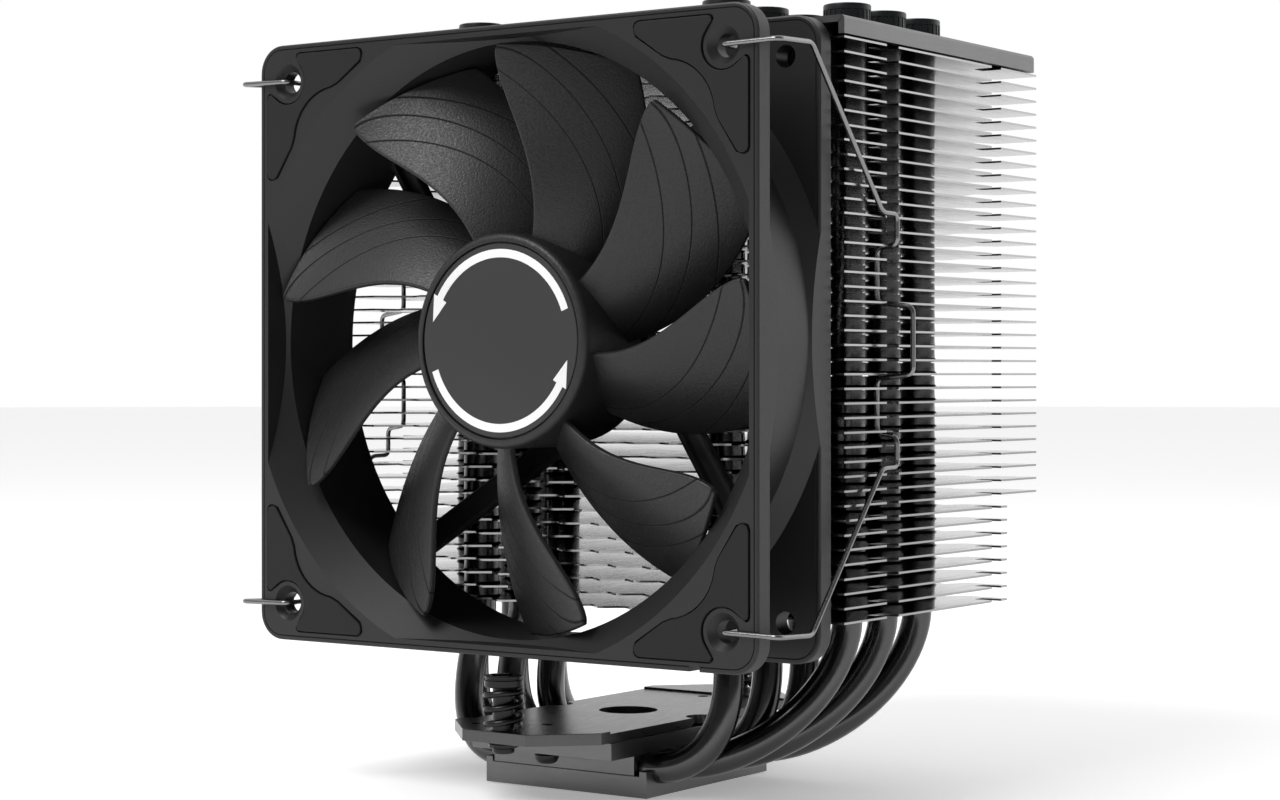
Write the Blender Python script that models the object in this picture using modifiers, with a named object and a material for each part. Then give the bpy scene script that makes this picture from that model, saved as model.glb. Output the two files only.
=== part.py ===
"""Tower cooler for a desktop processor: six bent heat pipes, a fin stack and a clipped-on 120 mm fan.

Frame: origin at the centre of the cold plate's contact face, +Z up the tower, +X to the right of
somebody who faces the fan, +Y from the fan towards the fins. Every length is in metres.
Fan parts are modelled about the middle of the fan's front face, so their own +Y runs into the fan.
"""
import math

import bmesh
import bpy
from mathutils import Matrix, Vector
from mathutils.geometry import tessellate_polygon

MM = 0.001
GAP = 0.3 * MM                      # clearance that neighbouring solids keep

# Fan: frame
FAN_SIZE = 120 * MM
FAN_DEPTH = 25 * MM
FAN_CENTRE = Vector((0, -44.5 * MM, 88.4 * MM))
FLANGE = 4 * MM
FRAME_CORNER_RADIUS = 5.5 * MM
HOLE_OFFSET = 52.5 * MM             # half of the 105 mm screw pitch
HOLE_RADIUS = 2.15 * MM
COUNTERSINK_RADIUS = 3.15 * MM
COUNTERSINK_DEPTH = 1.4 * MM
BARREL_RADIUS = 59.6 * MM
BORE_RADIUS = 57.4 * MM
MOUTH_RADIUS = 62.9 * MM            # round mouth, clipped flat at MOUTH_FLAT on four sides
MOUTH_FLAT = 58 * MM
MOUTH_DEPTH = 6 * MM
MOUNT_RADIUS = 20 * MM
MOUNT_DEPTH = 3.7 * MM
STRUT_WIDTH = 5 * MM
STRUT_THICKNESS = 3 * MM
STRUT_OFFSET = 16 * MM              # each strut's middle line passes the fan axis at this distance
STRUT_ANGLES = (32, 122, 212, 302)

# Fan: pads let into both flanges
PAD_EDGE = 58 * MM
PAD_END = 33 * MM
PAD_THICKNESS = 1.1 * MM
PAD_POCKET = 0.9 * MM

# Fan: rotor and motor, as depths behind the fan's front face
HUB_RADIUS = 20.7 * MM
HUB_FRONT = 1.8 * MM
HUB_REAR = 19.6 * MM
HUB_FLOOR = 2.8 * MM
HUB_WALL = 2.3 * MM
HUB_CAVITY = 4.6 * MM
BADGE_RADIUS = 18.6 * MM
BADGE_THICKNESS = 0.5 * MM
BLADE_COUNT = 9
BLADE_ROOT_RADIUS = 18.7 * MM
BLADE_TIP_RADIUS = 56.3 * MM
BLADE_THICKNESS = 1.3 * MM
LEADING_ROOT_ANGLE = 113            # degrees from +X towards +Z
LEADING_SWEEP = 18.2                # how far the leading edge leans forward on its way out
TRAILING_ROOT_ANGLE = 78.6
TRAILING_SWEEP = 28
LEADING_ROOT_DEPTH = 3.9 * MM
LEADING_TIP_DEPTH = 1.3 * MM
TRAILING_DEPTH = 15 * MM
TRAILING_BULGE = 1.8 * MM
SHAFT_RADIUS = 1.5 * MM
SLEEVE_RADIUS = 4 * MM

# Cold plate, cover and bracket
BASE_HALF_WIDTH = 19.7 * MM
BASE_HALF_LENGTH = 21.7 * MM
BASE_LEDGE_HALF_WIDTH = 18 * MM
BASE_FLOOR_Z = 4.2 * MM
BASE_LUG_Z = 5.2 * MM
BASE_CHAMFER = 0.5 * MM
COVER_BODY_HALF_WIDTH = 16.6 * MM
COVER_SLAB_HALF_WIDTH = 17 * MM
COVER_SLAB_HALF_LENGTH = 29.5 * MM
COVER_SLAB_Z = 8 * MM
COVER_TOP_Z = 11.4 * MM
COVER_POCKET_Z = 6.9 * MM
BRACKET_THICKNESS = 1.8 * MM
BRACKET_RAISE = 0.45 * MM
BRACKET_HALF_LENGTH = 44.2 * MM
BRACKET_HALF_WIDTH = 17.9 * MM
BRACKET_END_HALF_WIDTH = 7.6 * MM
BRACKET_RAISED_FROM = 31 * MM
BRACKET_HOLE_RADIUS = 6 * MM
BRACKET_NOTCH_RADIUS = 3.1 * MM
BRACKET_SCREW_Y = 27.4 * MM
BRACKET_SCREW_RADIUS = 1.15 * MM
SPRING_SCREW_Y = 41.1 * MM          # half of the 82.2 mm mounting pitch

# Spring screws
SCREW_HEAD_RADIUS = 3.72 * MM
SCREW_HEAD_HEIGHT = 2.2 * MM
SCREW_HEAD_TOP_Z = 24.5 * MM
SCREW_SHAFT_RADIUS = 2.1 * MM
SCREW_GROOVE_RADIUS = 1.5 * MM
SCREW_TIP_Z = 9.6 * MM
SCREW_BORE_RADIUS = 0.9 * MM
SCREW_BORE_DEPTH = 5 * MM
RING_RADIUS = 2.9 * MM
RING_THICKNESS = 0.6 * MM
SPRING_RADIUS = 3.35 * MM
SPRING_WIRE_RADIUS = 0.7 * MM
SPRING_TURNS = 3.6

# Heat pipes
PIPE_RADIUS = 3 * MM
PIPE_BASE_Z = 5.4 * MM
PIPE_BASE_PITCH = 6.8 * MM
PIPE_TIP_Z = 152.8 * MM
INNER_LEG = Vector((30.4, -9.8, 31.5)) * MM    # first leg of the inner row, where it stands upright
OUTER_LEG = Vector((46.8, 8.4, 32.5)) * MM     # first leg of the outer row, where it stands upright
INNER_BULGE = Vector((5.5, -3, -23)) * MM      # how each kind swings lower down, to pass its neighbour
OUTER_BULGE = Vector((-1.5, -1.5, -15)) * MM
INNER_RUN_OUT = 6.5 * MM                       # how straight each kind leaves the base
OUTER_RUN_OUT = 17 * MM
LEG_PITCH = 14 * MM
BEND_POINTS = 9

# Fins, top cover and pipe caps
FIN_COUNT = 41
SHORT_FIN_COUNT = 8
FIN_PITCH = 2.715 * MM
FIN_THICKNESS = 0.4 * MM
FIN_BOTTOM_Z = 35.85 * MM           # middle of the lowest fin
FIN_HALF_WIDTH = 62 * MM
FIN_FRONT_Y = -18.2 * MM
FIN_REAR_Y = 60.2 * MM
SHORT_FIN_REAR_Y = 47 * MM
NOTCH_FROM_Y = -2.5 * MM
NOTCH_TO_Y = 2.1 * MM
NOTCH_DEPTH = 4.2 * MM
COLLAR_WALL = 0.5 * MM
BORE_SIDES = 12
TOP_Z = 148.6 * MM
TOP_SKIRT = 3.5 * MM
TOP_WALL = 0.6 * MM
CAP_RADIUS = 4.8 * MM
CAP_TOP_Z = 154.5 * MM

# Wire clips, right-hand one; the left one is its mirror image
CLIP_WIRE_RADIUS = 0.5 * MM
CLIP_FRONT_Y = -45.1 * MM
CLIP_HOOK_DEPTH = 4.5 * MM
CLIP_SIDE_X = 63.4 * MM
CLIP_NOTCH_X = 59 * MM
CLIP_NOTCH_Y = -1.1 * MM
CLIP_GRIP_X = 66.2 * MM

PARTS = bpy.data.collections.new("cpu_tower_cooler")
TOOLS = bpy.data.collections.new("cutters")


# ---------------------------------------------------------------- modelling helpers

def finish(obj, colour, roughness, metallic):
    """Give an object its own Principled material."""
    material = bpy.data.materials.new(obj.name)
    material.use_nodes = True
    shader = material.node_tree.nodes["Principled BSDF"]
    shader.inputs["Base Color"].default_value = (*colour, 1)
    shader.inputs["Roughness"].default_value = roughness
    shader.inputs["Metallic"].default_value = metallic
    material.diffuse_color = (*colour, 1)
    obj.data.materials.clear()
    obj.data.materials.append(material)
    return obj


def place(name, data, home, origin=(0, 0, 0)):
    """Link new object data into one of the two collections."""
    obj = bpy.data.objects.new(name, data)
    obj.location = origin
    home.objects.link(obj)
    if home is TOOLS:
        obj.hide_render = True
        obj.display_type = "WIRE"
    return obj


def from_bmesh(name, bm, home, origin=(0, 0, 0)):
    mesh = bpy.data.meshes.new(name)
    bmesh.ops.recalc_face_normals(bm, faces=bm.faces)
    bm.to_mesh(mesh)
    bm.free()
    return place(name, mesh, home, origin)


def box(name, low, high, home, origin=(0, 0, 0), round_radius=0, round_axis=1, segments=4):
    """A box between two corners, with the edges along one axis rounded if asked."""
    low, high = Vector(low), Vector(high)
    bm = bmesh.new()
    shape = Matrix.Translation((low + high) / 2) @ Matrix.Diagonal((*(high - low), 1))
    bmesh.ops.create_cube(bm, size=1, matrix=shape)
    if round_radius:
        along = [e for e in bm.edges
                 if abs((e.verts[0].co - e.verts[1].co).normalized()[round_axis]) > 0.9]
        bmesh.ops.bevel(bm, geom=along, offset=round_radius, segments=segments,
                        profile=0.5, affect="EDGES")
    return from_bmesh(name, bm, home, origin)


def cylinder(name, radius, start, end, home, origin=(0, 0, 0), sides=16, end_radius=None):
    """A round bar, or a cone, from one point to another."""
    start, end = Vector(start), Vector(end)
    turn = (end - start).to_track_quat("Z", "Y").to_matrix().to_4x4()
    bm = bmesh.new()
    bmesh.ops.create_cone(bm, cap_ends=True, segments=sides, radius1=radius,
                          radius2=radius if end_radius is None else end_radius,
                          depth=(end - start).length,
                          matrix=Matrix.Translation((start + end) / 2) @ turn)
    return from_bmesh(name, bm, home, origin)


def turned(name, profile, home, origin=(0, 0, 0), steps=24, into_fan=False, closed=False):
    """Turn a profile of (radius, height) points, listed down the outer side, about its own Z axis."""
    mesh = bpy.data.meshes.new(name)
    links = [(i, i + 1) for i in range(len(profile) - 1)]
    if closed:
        links.append((len(profile) - 1, 0))
    mesh.from_pydata([(r, 0, z) for r, z in profile], links, [])
    obj = place(name, mesh, home, origin)
    screw = obj.modifiers.new("turn", "SCREW")
    screw.steps = steps
    screw.render_steps = steps
    screw.use_merge_vertices = True
    screw.merge_threshold = 0.00001
    if into_fan:
        obj.rotation_euler.x = -math.pi / 2
    return obj


def settle(obj):
    """Replace an object by the mesh that its curve or modifiers make, with loose caps welded."""
    graph = bpy.context.evaluated_depsgraph_get()
    mesh = bpy.data.meshes.new_from_object(obj.evaluated_get(graph))
    bm = bmesh.new()
    bm.from_mesh(mesh)
    bmesh.ops.remove_doubles(bm, verts=bm.verts, dist=0.000001)
    bmesh.ops.recalc_face_normals(bm, faces=bm.faces)
    bm.to_mesh(mesh)
    bm.free()
    name = obj.name
    matrix = obj.matrix_world.copy()
    home = obj.users_collection[0]
    bpy.data.objects.remove(obj)
    fresh = place(name, mesh, home)
    fresh.matrix_world = matrix
    return fresh


def boolean(obj, tool, operation):
    step = obj.modifiers.new(operation.lower(), "BOOLEAN")
    step.operation = operation
    step.solver = "EXACT"
    step.object = tool
    return obj


def cut(obj, tool):
    return boolean(obj, tool, "DIFFERENCE")


def add(obj, tool):
    return boolean(obj, tool, "UNION")


def outline_plate(name, outline, start, end, home, origin=(0, 0, 0), upright=False):
    """A flat piece from an outline in its own X and Y, or X and Z when upright."""
    curve = bpy.data.curves.new(name, "CURVE")
    curve.dimensions = "2D"
    curve.fill_mode = "BOTH"
    curve.extrude = (end - start) / 2
    spline = curve.splines.new("POLY")
    spline.points.add(len(outline) - 1)
    for point, (x, y) in zip(spline.points, outline):
        point.co = (x, y, 0, 1)
    spline.use_cyclic_u = True
    middle = (start + end) / 2
    shift = Vector((0, middle, 0)) if upright else Vector((0, 0, middle))
    obj = place(name, curve, home, Vector(origin) + shift)
    if upright:
        obj.rotation_euler.x = math.pi / 2
    bpy.context.view_layer.update()
    return settle(obj)


def wire(name, points, radius, home, origin=(0, 0, 0)):
    """A round bar bent along a list of points."""
    curve = bpy.data.curves.new(name, "CURVE")
    curve.dimensions = "3D"
    curve.bevel_depth = radius
    curve.bevel_resolution = 2
    curve.use_fill_caps = True
    spline = curve.splines.new("POLY")
    spline.points.add(len(points) - 1)
    for point, spot in zip(spline.points, points):
        point.co = (*spot, 1)
    return place(name, curve, home, origin)


def arc(centre, radius, first, last, count):
    """Points on a circle between two angles in degrees."""
    angles = [math.radians(first + (last - first) * i / (count - 1)) for i in range(count)]
    return [(centre[0] + radius * math.cos(a), centre[1] + radius * math.sin(a)) for a in angles]


def softened_path(corners, radius):
    """Cut each inner corner of a 3-D polyline short by one straight piece."""
    corners = [Vector(c) for c in corners]
    path = [corners[0]]
    for before, corner, after in zip(corners, corners[1:], corners[2:]):
        for other in (before, after):
            reach = min(radius, (other - corner).length * 0.45)
            path.append(corner + (other - corner).normalized() * reach)
    path.append(corners[-1])
    return path


# ---------------------------------------------------------------- fan frame and pads

def fan_tool(maker, name, *args, **options):
    return maker(name, *args, home=TOOLS, origin=FAN_CENTRE, **options)


def mirrored_points(outline, side_x, side_z):
    """Mirror an outline into another corner and keep its turning sense."""
    points = [(x * side_x, z * side_z) for x, z in outline]
    return points if side_x * side_z > 0 else points[::-1]


def pad_outline(margin=0.0):
    """The S-edged corner pad in the corner at +X +Z; margin grows it all round."""
    edge = PAD_EDGE + margin
    end = PAD_END - margin
    hole = (HOLE_OFFSET, HOLE_OFFSET)
    inner = (40 * MM, 40 * MM)
    low = 50.2 * MM + margin
    lower_half = [(edge, low - 1.2 * MM)]
    lower_half += [(edge, end + 1.2 * MM), (edge - 1.1 * MM, end),
                   (edge - 2.5 * MM - 2 * margin, end + 0.5 * MM)]
    lower_half += [(51.2 * MM - margin, 40.0 * MM)]
    belly = arc(inner, 10.9 * MM - margin, 8, 82, 6)
    start = [(edge - 1.2 * MM, low)]
    around_hole = arc(hole, 4.6 * MM - margin, 135, 315, 7)
    upper_half = [(z, x) for x, z in lower_half][::-1]
    upper_start = [(low, edge - 1.2 * MM)]
    return upper_start + around_hole + start + lower_half + belly + upper_half


def pads(front):
    """Four soft pads in one face of the fan; returns the pocket cutters for the frame."""
    face = 0 if front else FAN_DEPTH
    sense = 1 if front else -1
    label = "front" if front else "rear"
    corners = {"right_top": (1, 1), "left_top": (-1, 1), "left_bottom": (-1, -1), "right_bottom": (1, -1)}
    cutters = []
    for corner, (sx, sz) in corners.items():
        floor = face + sense * PAD_POCKET
        inside = floor - sense * GAP
        outside = inside - sense * PAD_THICKNESS
        pad = outline_plate("fan_pad_%s_%s" % (label, corner), mirrored_points(pad_outline(), sx, sz),
                            min(inside, outside), max(inside, outside), PARTS, FAN_CENTRE, upright=True)
        finish(pad, (0.02, 0.02, 0.021), 0.75, 0)
        pocket = outline_plate("pocket_%s_%s" % (label, corner),
                               mirrored_points(pad_outline(GAP), sx, sz),
                               min(floor, floor - sense * 3 * MM), max(floor, floor - sense * 3 * MM),
                               TOOLS, FAN_CENTRE, upright=True)
        cutters.append(pocket)
    return cutters


def fan_frame(pockets):
    """Square frame: two flanges round a barrel, a clipped funnel mouth and a strutted motor mount."""
    half = FAN_SIZE / 2
    frame = box("fan_frame", (-half, 0, -half), (half, FLANGE, half), PARTS, FAN_CENTRE,
                FRAME_CORNER_RADIUS)
    add(frame, fan_tool(box, "rear_flange", (-half, FAN_DEPTH - FLANGE, -half), (half, FAN_DEPTH, half),
                        round_radius=FRAME_CORNER_RADIUS))
    add(frame, fan_tool(cylinder, "barrel", BARREL_RADIUS, (0, 1 * MM, 0), (0, FAN_DEPTH - 1 * MM, 0),
                        sides=40))
    cut(frame, fan_tool(cylinder, "bore", BORE_RADIUS, (0, -1 * MM, 0), (0, FAN_DEPTH + 1 * MM, 0),
                        sides=40))
    slope = (MOUTH_RADIUS - BORE_RADIUS) / MOUTH_DEPTH
    ahead = 1 * MM
    mouth = fan_tool(cylinder, "mouth", MOUTH_RADIUS + slope * ahead, (0, -ahead, 0), (0, MOUTH_DEPTH, 0),
                     sides=40, end_radius=BORE_RADIUS)
    flats = fan_tool(box, "mouth_flats", (-MOUTH_FLAT, -2 * MM, -MOUTH_FLAT),
                     (MOUTH_FLAT, MOUTH_DEPTH + 1 * MM, MOUTH_FLAT))
    boolean(mouth, flats, "INTERSECT")
    cut(frame, mouth)
    mount_front = FAN_DEPTH - MOUNT_DEPTH
    add(frame, fan_tool(cylinder, "motor_mount", MOUNT_RADIUS, (0, mount_front, 0), (0, FAN_DEPTH, 0),
                        sides=24))
    strut_reach = math.sqrt((BORE_RADIUS + BARREL_RADIUS) ** 2 / 4 - STRUT_OFFSET ** 2)
    for angle in STRUT_ANGLES:
        strut = fan_tool(box, "strut_%d" % angle,
                         (6 * MM, FAN_DEPTH - STRUT_THICKNESS, STRUT_OFFSET - STRUT_WIDTH / 2),
                         (strut_reach, FAN_DEPTH - 0.2 * MM, STRUT_OFFSET + STRUT_WIDTH / 2))
        strut.rotation_euler.y = -math.radians(angle)
        add(frame, strut)
    for sx in (-1, 1):
        for sz in (-1, 1):
            x, z = sx * HOLE_OFFSET, sz * HOLE_OFFSET
            ahead = COUNTERSINK_RADIUS + 1 * MM
            hole = turned("screw_hole_%d_%d" % (sx, sz), [
                (0, FAN_DEPTH + 1 * MM), (HOLE_RADIUS, FAN_DEPTH + 1 * MM), (HOLE_RADIUS, COUNTERSINK_DEPTH),
                (ahead, COUNTERSINK_DEPTH - (ahead - HOLE_RADIUS)), (0, COUNTERSINK_DEPTH - (ahead - HOLE_RADIUS))],
                TOOLS, FAN_CENTRE + Vector((x, 0, z)), steps=14, into_fan=True)
            cut(frame, hole)
    for pocket in pockets:
        cut(frame, pocket)
    notch_x = 45 * MM
    cut(frame, fan_tool(box, "cable_notch", (notch_x, -1 * MM, -half - 1 * MM),
                        (notch_x + 2.4 * MM, FLANGE + 1 * MM, -half + 1.4 * MM)))
    return finish(frame, (0.035, 0.035, 0.037), 0.5, 0)


# ---------------------------------------------------------------- rotor and motor

def blade_point(span, chord):
    """A point of the blade's middle surface: span 0 at the hub, chord 0 at the leading edge."""
    radius = BLADE_ROOT_RADIUS + (BLADE_TIP_RADIUS - BLADE_ROOT_RADIUS) * span
    lean = span * span * (3 - 2 * span)
    leading = LEADING_ROOT_ANGLE + LEADING_SWEEP * lean
    trailing = TRAILING_ROOT_ANGLE + TRAILING_SWEEP * span
    leading_depth = LEADING_ROOT_DEPTH + (LEADING_TIP_DEPTH - LEADING_ROOT_DEPTH) * span
    trailing_depth = TRAILING_DEPTH + TRAILING_BULGE * 4 * span * (1 - span)
    angle = math.radians(leading + (trailing - leading) * chord)
    camber = chord - 0.35 * chord * (1 - chord)
    depth = leading_depth + (trailing_depth - leading_depth) * camber
    return Vector((radius * math.cos(angle), depth + 0.9 * MM, radius * math.sin(angle)))


def blade(turn):
    """One swept blade as a thickened grid, turned about the fan axis."""
    rows, columns = 5, 5
    bm = bmesh.new()
    grid = [[bm.verts.new(blade_point(i / (rows - 1), j / (columns - 1))) for j in range(columns)]
            for i in range(rows)]
    for i in range(rows - 1):
        for j in range(columns - 1):
            bm.faces.new((grid[i][j], grid[i][j + 1], grid[i + 1][j + 1], grid[i + 1][j]))
    obj = from_bmesh("blade_%d" % turn, bm, TOOLS, FAN_CENTRE)
    obj.rotation_euler.y = math.radians(turn * 360 / BLADE_COUNT)
    thicken = obj.modifiers.new("thickness", "SOLIDIFY")
    thicken.thickness = BLADE_THICKNESS
    thicken.offset = 0
    return obj


def rotor():
    """Cup-shaped hub with nine blades; the cup opens to the rear, over the motor."""
    inner = HUB_RADIUS - HUB_WALL
    rim = BADGE_RADIUS + GAP
    hub = turned("fan_rotor", [
        (0, HUB_CAVITY), (inner, HUB_CAVITY), (inner, HUB_REAR), (HUB_RADIUS, HUB_REAR),
        (HUB_RADIUS, HUB_FRONT + 0.8 * MM), (HUB_RADIUS - 0.6 * MM, HUB_FRONT),
        (rim, HUB_FRONT), (rim, HUB_FLOOR), (0, HUB_FLOOR)],
        PARTS, FAN_CENTRE, steps=32, into_fan=True)
    for turn in range(BLADE_COUNT):
        add(hub, blade(turn))
    finish(hub, (0.022, 0.022, 0.023), 0.55, 0)
    badge_back = HUB_FLOOR - GAP
    badge = turned("hub_badge", [
        (0, badge_back), (BADGE_RADIUS, badge_back), (BADGE_RADIUS, badge_back - BADGE_THICKNESS),
        (0, badge_back - BADGE_THICKNESS)], PARTS, FAN_CENTRE, steps=32, into_fan=True)
    finish(badge, (0.06, 0.06, 0.062), 0.5, 0)


def motor():
    """Magnet ring and shaft turn with the hub; sleeve, stator and board stay on the mount."""
    magnet_outer = HUB_RADIUS - HUB_WALL - GAP
    magnet_inner = magnet_outer - 1.7 * MM
    magnet = turned("rotor_magnet_ring", [
        (magnet_outer, 17.5 * MM), (magnet_outer, 5.2 * MM), (magnet_inner, 5.2 * MM),
        (magnet_inner, 17.5 * MM)], PARTS, FAN_CENTRE, steps=24, into_fan=True, closed=True)
    finish(magnet, (0.05, 0.045, 0.04), 0.6, 0.3)
    shaft = turned("fan_shaft", [
        (0, 20.4 * MM), (SHAFT_RADIUS, 20.4 * MM), (SHAFT_RADIUS, HUB_CAVITY + GAP),
        (0, HUB_CAVITY + GAP)], PARTS, FAN_CENTRE, steps=12, into_fan=True)
    finish(shaft, (0.6, 0.6, 0.6), 0.25, 1)
    mount_front = FAN_DEPTH - MOUNT_DEPTH
    sleeve = turned("bearing_sleeve", [
        (SLEEVE_RADIUS, mount_front - GAP), (SLEEVE_RADIUS, 5.6 * MM),
        (SHAFT_RADIUS + GAP, 5.6 * MM), (SHAFT_RADIUS + GAP, mount_front - GAP)],
        PARTS, FAN_CENTRE, steps=12, into_fan=True, closed=True)
    finish(sleeve, (0.45, 0.33, 0.16), 0.4, 0.9)
    reach = magnet_inner - 0.6 * MM
    stator = turned("stator", [
        (reach, 15 * MM), (reach, 7.5 * MM), (SLEEVE_RADIUS + GAP, 7.5 * MM),
        (SLEEVE_RADIUS + GAP, 15 * MM)], PARTS, FAN_CENTRE, steps=24, into_fan=True, closed=True)
    for turn in range(4):
        slot = fan_tool(box, "stator_slot_%d" % turn, (8 * MM, 6 * MM, -2 * MM),
                        (reach + 2 * MM, 16 * MM, 2 * MM))
        slot.rotation_euler.y = math.radians(45 + 90 * turn)
        cut(stator, slot)
    finish(stator, (0.5, 0.22, 0.08), 0.4, 0.8)
    board = turned("motor_board", [
        (reach, 19.4 * MM), (reach, 18.2 * MM), (SLEEVE_RADIUS + GAP, 18.2 * MM),
        (SLEEVE_RADIUS + GAP, 19.4 * MM)], PARTS, FAN_CENTRE, steps=20, into_fan=True, closed=True)
    finish(board, (0.03, 0.12, 0.05), 0.5, 0)


# ---------------------------------------------------------------- wire clips

def clip(name, side):
    """A spring-wire clip: a hook in each frame hole, two notch runs and a finger loop between."""
    hook = side * HOLE_OFFSET
    run = side * CLIP_SIDE_X
    notch = side * CLIP_NOTCH_X
    grip = side * CLIP_GRIP_X
    upper = [
        (hook, CLIP_FRONT_Y + CLIP_HOOK_DEPTH, HOLE_OFFSET),
        (hook, CLIP_FRONT_Y, HOLE_OFFSET),
        (run + side * 1.2 * MM, CLIP_FRONT_Y, HOLE_OFFSET + 0.2 * MM),
        (run, -32 * MM, HOLE_OFFSET + 0.9 * MM),
        (run, -6.6 * MM, 24.1 * MM),
        (run, CLIP_NOTCH_Y, 24.0 * MM),
        (run, CLIP_NOTCH_Y, 18.2 * MM),
        (notch, CLIP_NOTCH_Y, 17.6 * MM),
        (notch, CLIP_NOTCH_Y, 7.3 * MM),
        (grip, CLIP_NOTCH_Y + 1.2 * MM, 6.4 * MM)]
    lower = [(x, y, -z) for x, y, z in reversed(upper)]
    pivot = Vector((hook, CLIP_FRONT_Y, FAN_CENTRE.z))
    centred = [Vector((x, y, z)) - Vector((hook, CLIP_FRONT_Y, 0)) for x, y, z in upper + lower]
    obj = wire(name, softened_path(centred, 1 * MM), CLIP_WIRE_RADIUS, PARTS, pivot)
    return finish(obj, (0.5, 0.5, 0.5), 0.3, 1)


# ---------------------------------------------------------------- cold plate, cover, bracket

def pipe_rows():
    """Yield each pipe's place in the base, where its leg stands up, and how its bend runs."""
    for k in range(6):
        base_y = (k - 2.5) * PIPE_BASE_PITCH
        step = Vector((0, (k // 2) * LEG_PITCH, 0))
        if k % 2 == 0:
            yield base_y, INNER_LEG + step, INNER_BULGE, INNER_RUN_OUT
        else:
            yield base_y, OUTER_LEG + step, OUTER_BULGE, OUTER_RUN_OUT


def pipe_grooves(name, reach):
    """Cutters for the six channels that hold the pipes between cold plate and cover."""
    return [cylinder("%s_%d" % (name, k), PIPE_RADIUS + GAP, (-reach, y, PIPE_BASE_Z),
                     (reach, y, PIPE_BASE_Z), TOOLS, sides=12)
            for k, (y, _, _, _) in enumerate(pipe_rows())]


def cold_plate():
    """Machined block with a chamfered foot, a sunk floor between two side lugs and six grooves."""
    plate = box("base_block", (-BASE_HALF_WIDTH, -BASE_HALF_LENGTH, 0),
                (BASE_HALF_WIDTH, BASE_HALF_LENGTH, BASE_LUG_Z), PARTS)
    bm = bmesh.new()
    bm.from_mesh(plate.data)
    foot = [e for e in bm.edges if all(v.co.z < 0.0001 for v in e.verts)]
    bmesh.ops.bevel(bm, geom=foot, offset=BASE_CHAMFER, segments=1, affect="EDGES")
    bm.to_mesh(plate.data)
    bm.free()
    beyond = BASE_HALF_LENGTH + 5 * MM
    cut(plate, box("base_floor", (-BASE_LEDGE_HALF_WIDTH, -beyond, BASE_FLOOR_Z),
                   (BASE_LEDGE_HALF_WIDTH, beyond, BASE_LUG_Z + 5 * MM), TOOLS))
    for groove in pipe_grooves("base_groove", BASE_HALF_WIDTH + 5 * MM):
        cut(plate, groove)
    return finish(plate, (0.16, 0.16, 0.165), 0.35, 1)


def cover():
    """Cover that clamps the pipes: a body over the cold plate under a longer slab."""
    block = box("cover_block", (-COVER_BODY_HALF_WIDTH, -BASE_HALF_LENGTH + GAP, BASE_FLOOR_Z + GAP),
                (COVER_BODY_HALF_WIDTH, BASE_HALF_LENGTH - GAP, COVER_SLAB_Z + 0.5 * MM), PARTS)
    add(block, box("cover_slab", (-COVER_SLAB_HALF_WIDTH, -COVER_SLAB_HALF_LENGTH, COVER_SLAB_Z),
                   (COVER_SLAB_HALF_WIDTH, COVER_SLAB_HALF_LENGTH, COVER_TOP_Z), TOOLS))
    pocket = 2.5 * PIPE_BASE_PITCH + PIPE_RADIUS + GAP
    cut(block, box("cover_pocket", (-BASE_HALF_WIDTH, -pocket, 0), (BASE_HALF_WIDTH, pocket, COVER_POCKET_Z),
                   TOOLS))
    for groove in pipe_grooves("cover_groove", BASE_HALF_WIDTH + 5 * MM):
        cut(block, groove)
    for side in (-1, 1):
        y = side * BRACKET_SCREW_Y
        cut(block, cylinder("cover_screw_hole_%d" % side, BRACKET_SCREW_RADIUS + GAP, (0, y, 0),
                            (0, y, COVER_TOP_Z + 1 * MM), TOOLS, sides=12))
    return finish(block, (0.17, 0.17, 0.175), 0.35, 1)


def bracket():
    """Mounting bar with tapered ends, raised end zones and one hole for each spring screw."""
    low = COVER_TOP_Z + GAP
    top = low + BRACKET_THICKNESS
    run = BRACKET_HALF_LENGTH - (BRACKET_HALF_WIDTH - BRACKET_END_HALF_WIDTH)
    quarter = [(BRACKET_END_HALF_WIDTH, -BRACKET_HALF_LENGTH), (BRACKET_HALF_WIDTH, -run)]
    right = quarter + [(x, -y) for x, y in reversed(quarter)]
    outline = right + [(-x, -y) for x, y in right]
    bar = outline_plate("mounting_bracket", outline, low, top + BRACKET_RAISE, PARTS)
    beyond = BRACKET_HALF_WIDTH + 5 * MM
    cut(bar, box("bracket_middle", (-beyond, -BRACKET_RAISED_FROM, top),
                 (beyond, BRACKET_RAISED_FROM, top + 5 * MM), TOOLS))
    holes = {
        "bracket_window": (0, 0, BRACKET_HOLE_RADIUS, 24),
        "bracket_notch_right": (BRACKET_HALF_WIDTH, 0, BRACKET_NOTCH_RADIUS, 16),
        "bracket_notch_left": (-BRACKET_HALF_WIDTH, 0, BRACKET_NOTCH_RADIUS, 16)}
    for label, side in (("front", -1), ("rear", 1)):
        holes["bracket_thread_" + label] = (0, side * BRACKET_SCREW_Y, BRACKET_SCREW_RADIUS, 10)
        holes["spring_screw_hole_" + label] = (0, side * SPRING_SCREW_Y, SCREW_SHAFT_RADIUS + GAP, 14)
    for name, (x, y, radius, sides) in holes.items():
        cut(bar, cylinder(name, radius, (x, y, low - 2 * MM), (x, y, top + 5 * MM), TOOLS, sides=sides))
    return finish(bar, (0.1, 0.1, 0.105), 0.38, 1)


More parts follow.
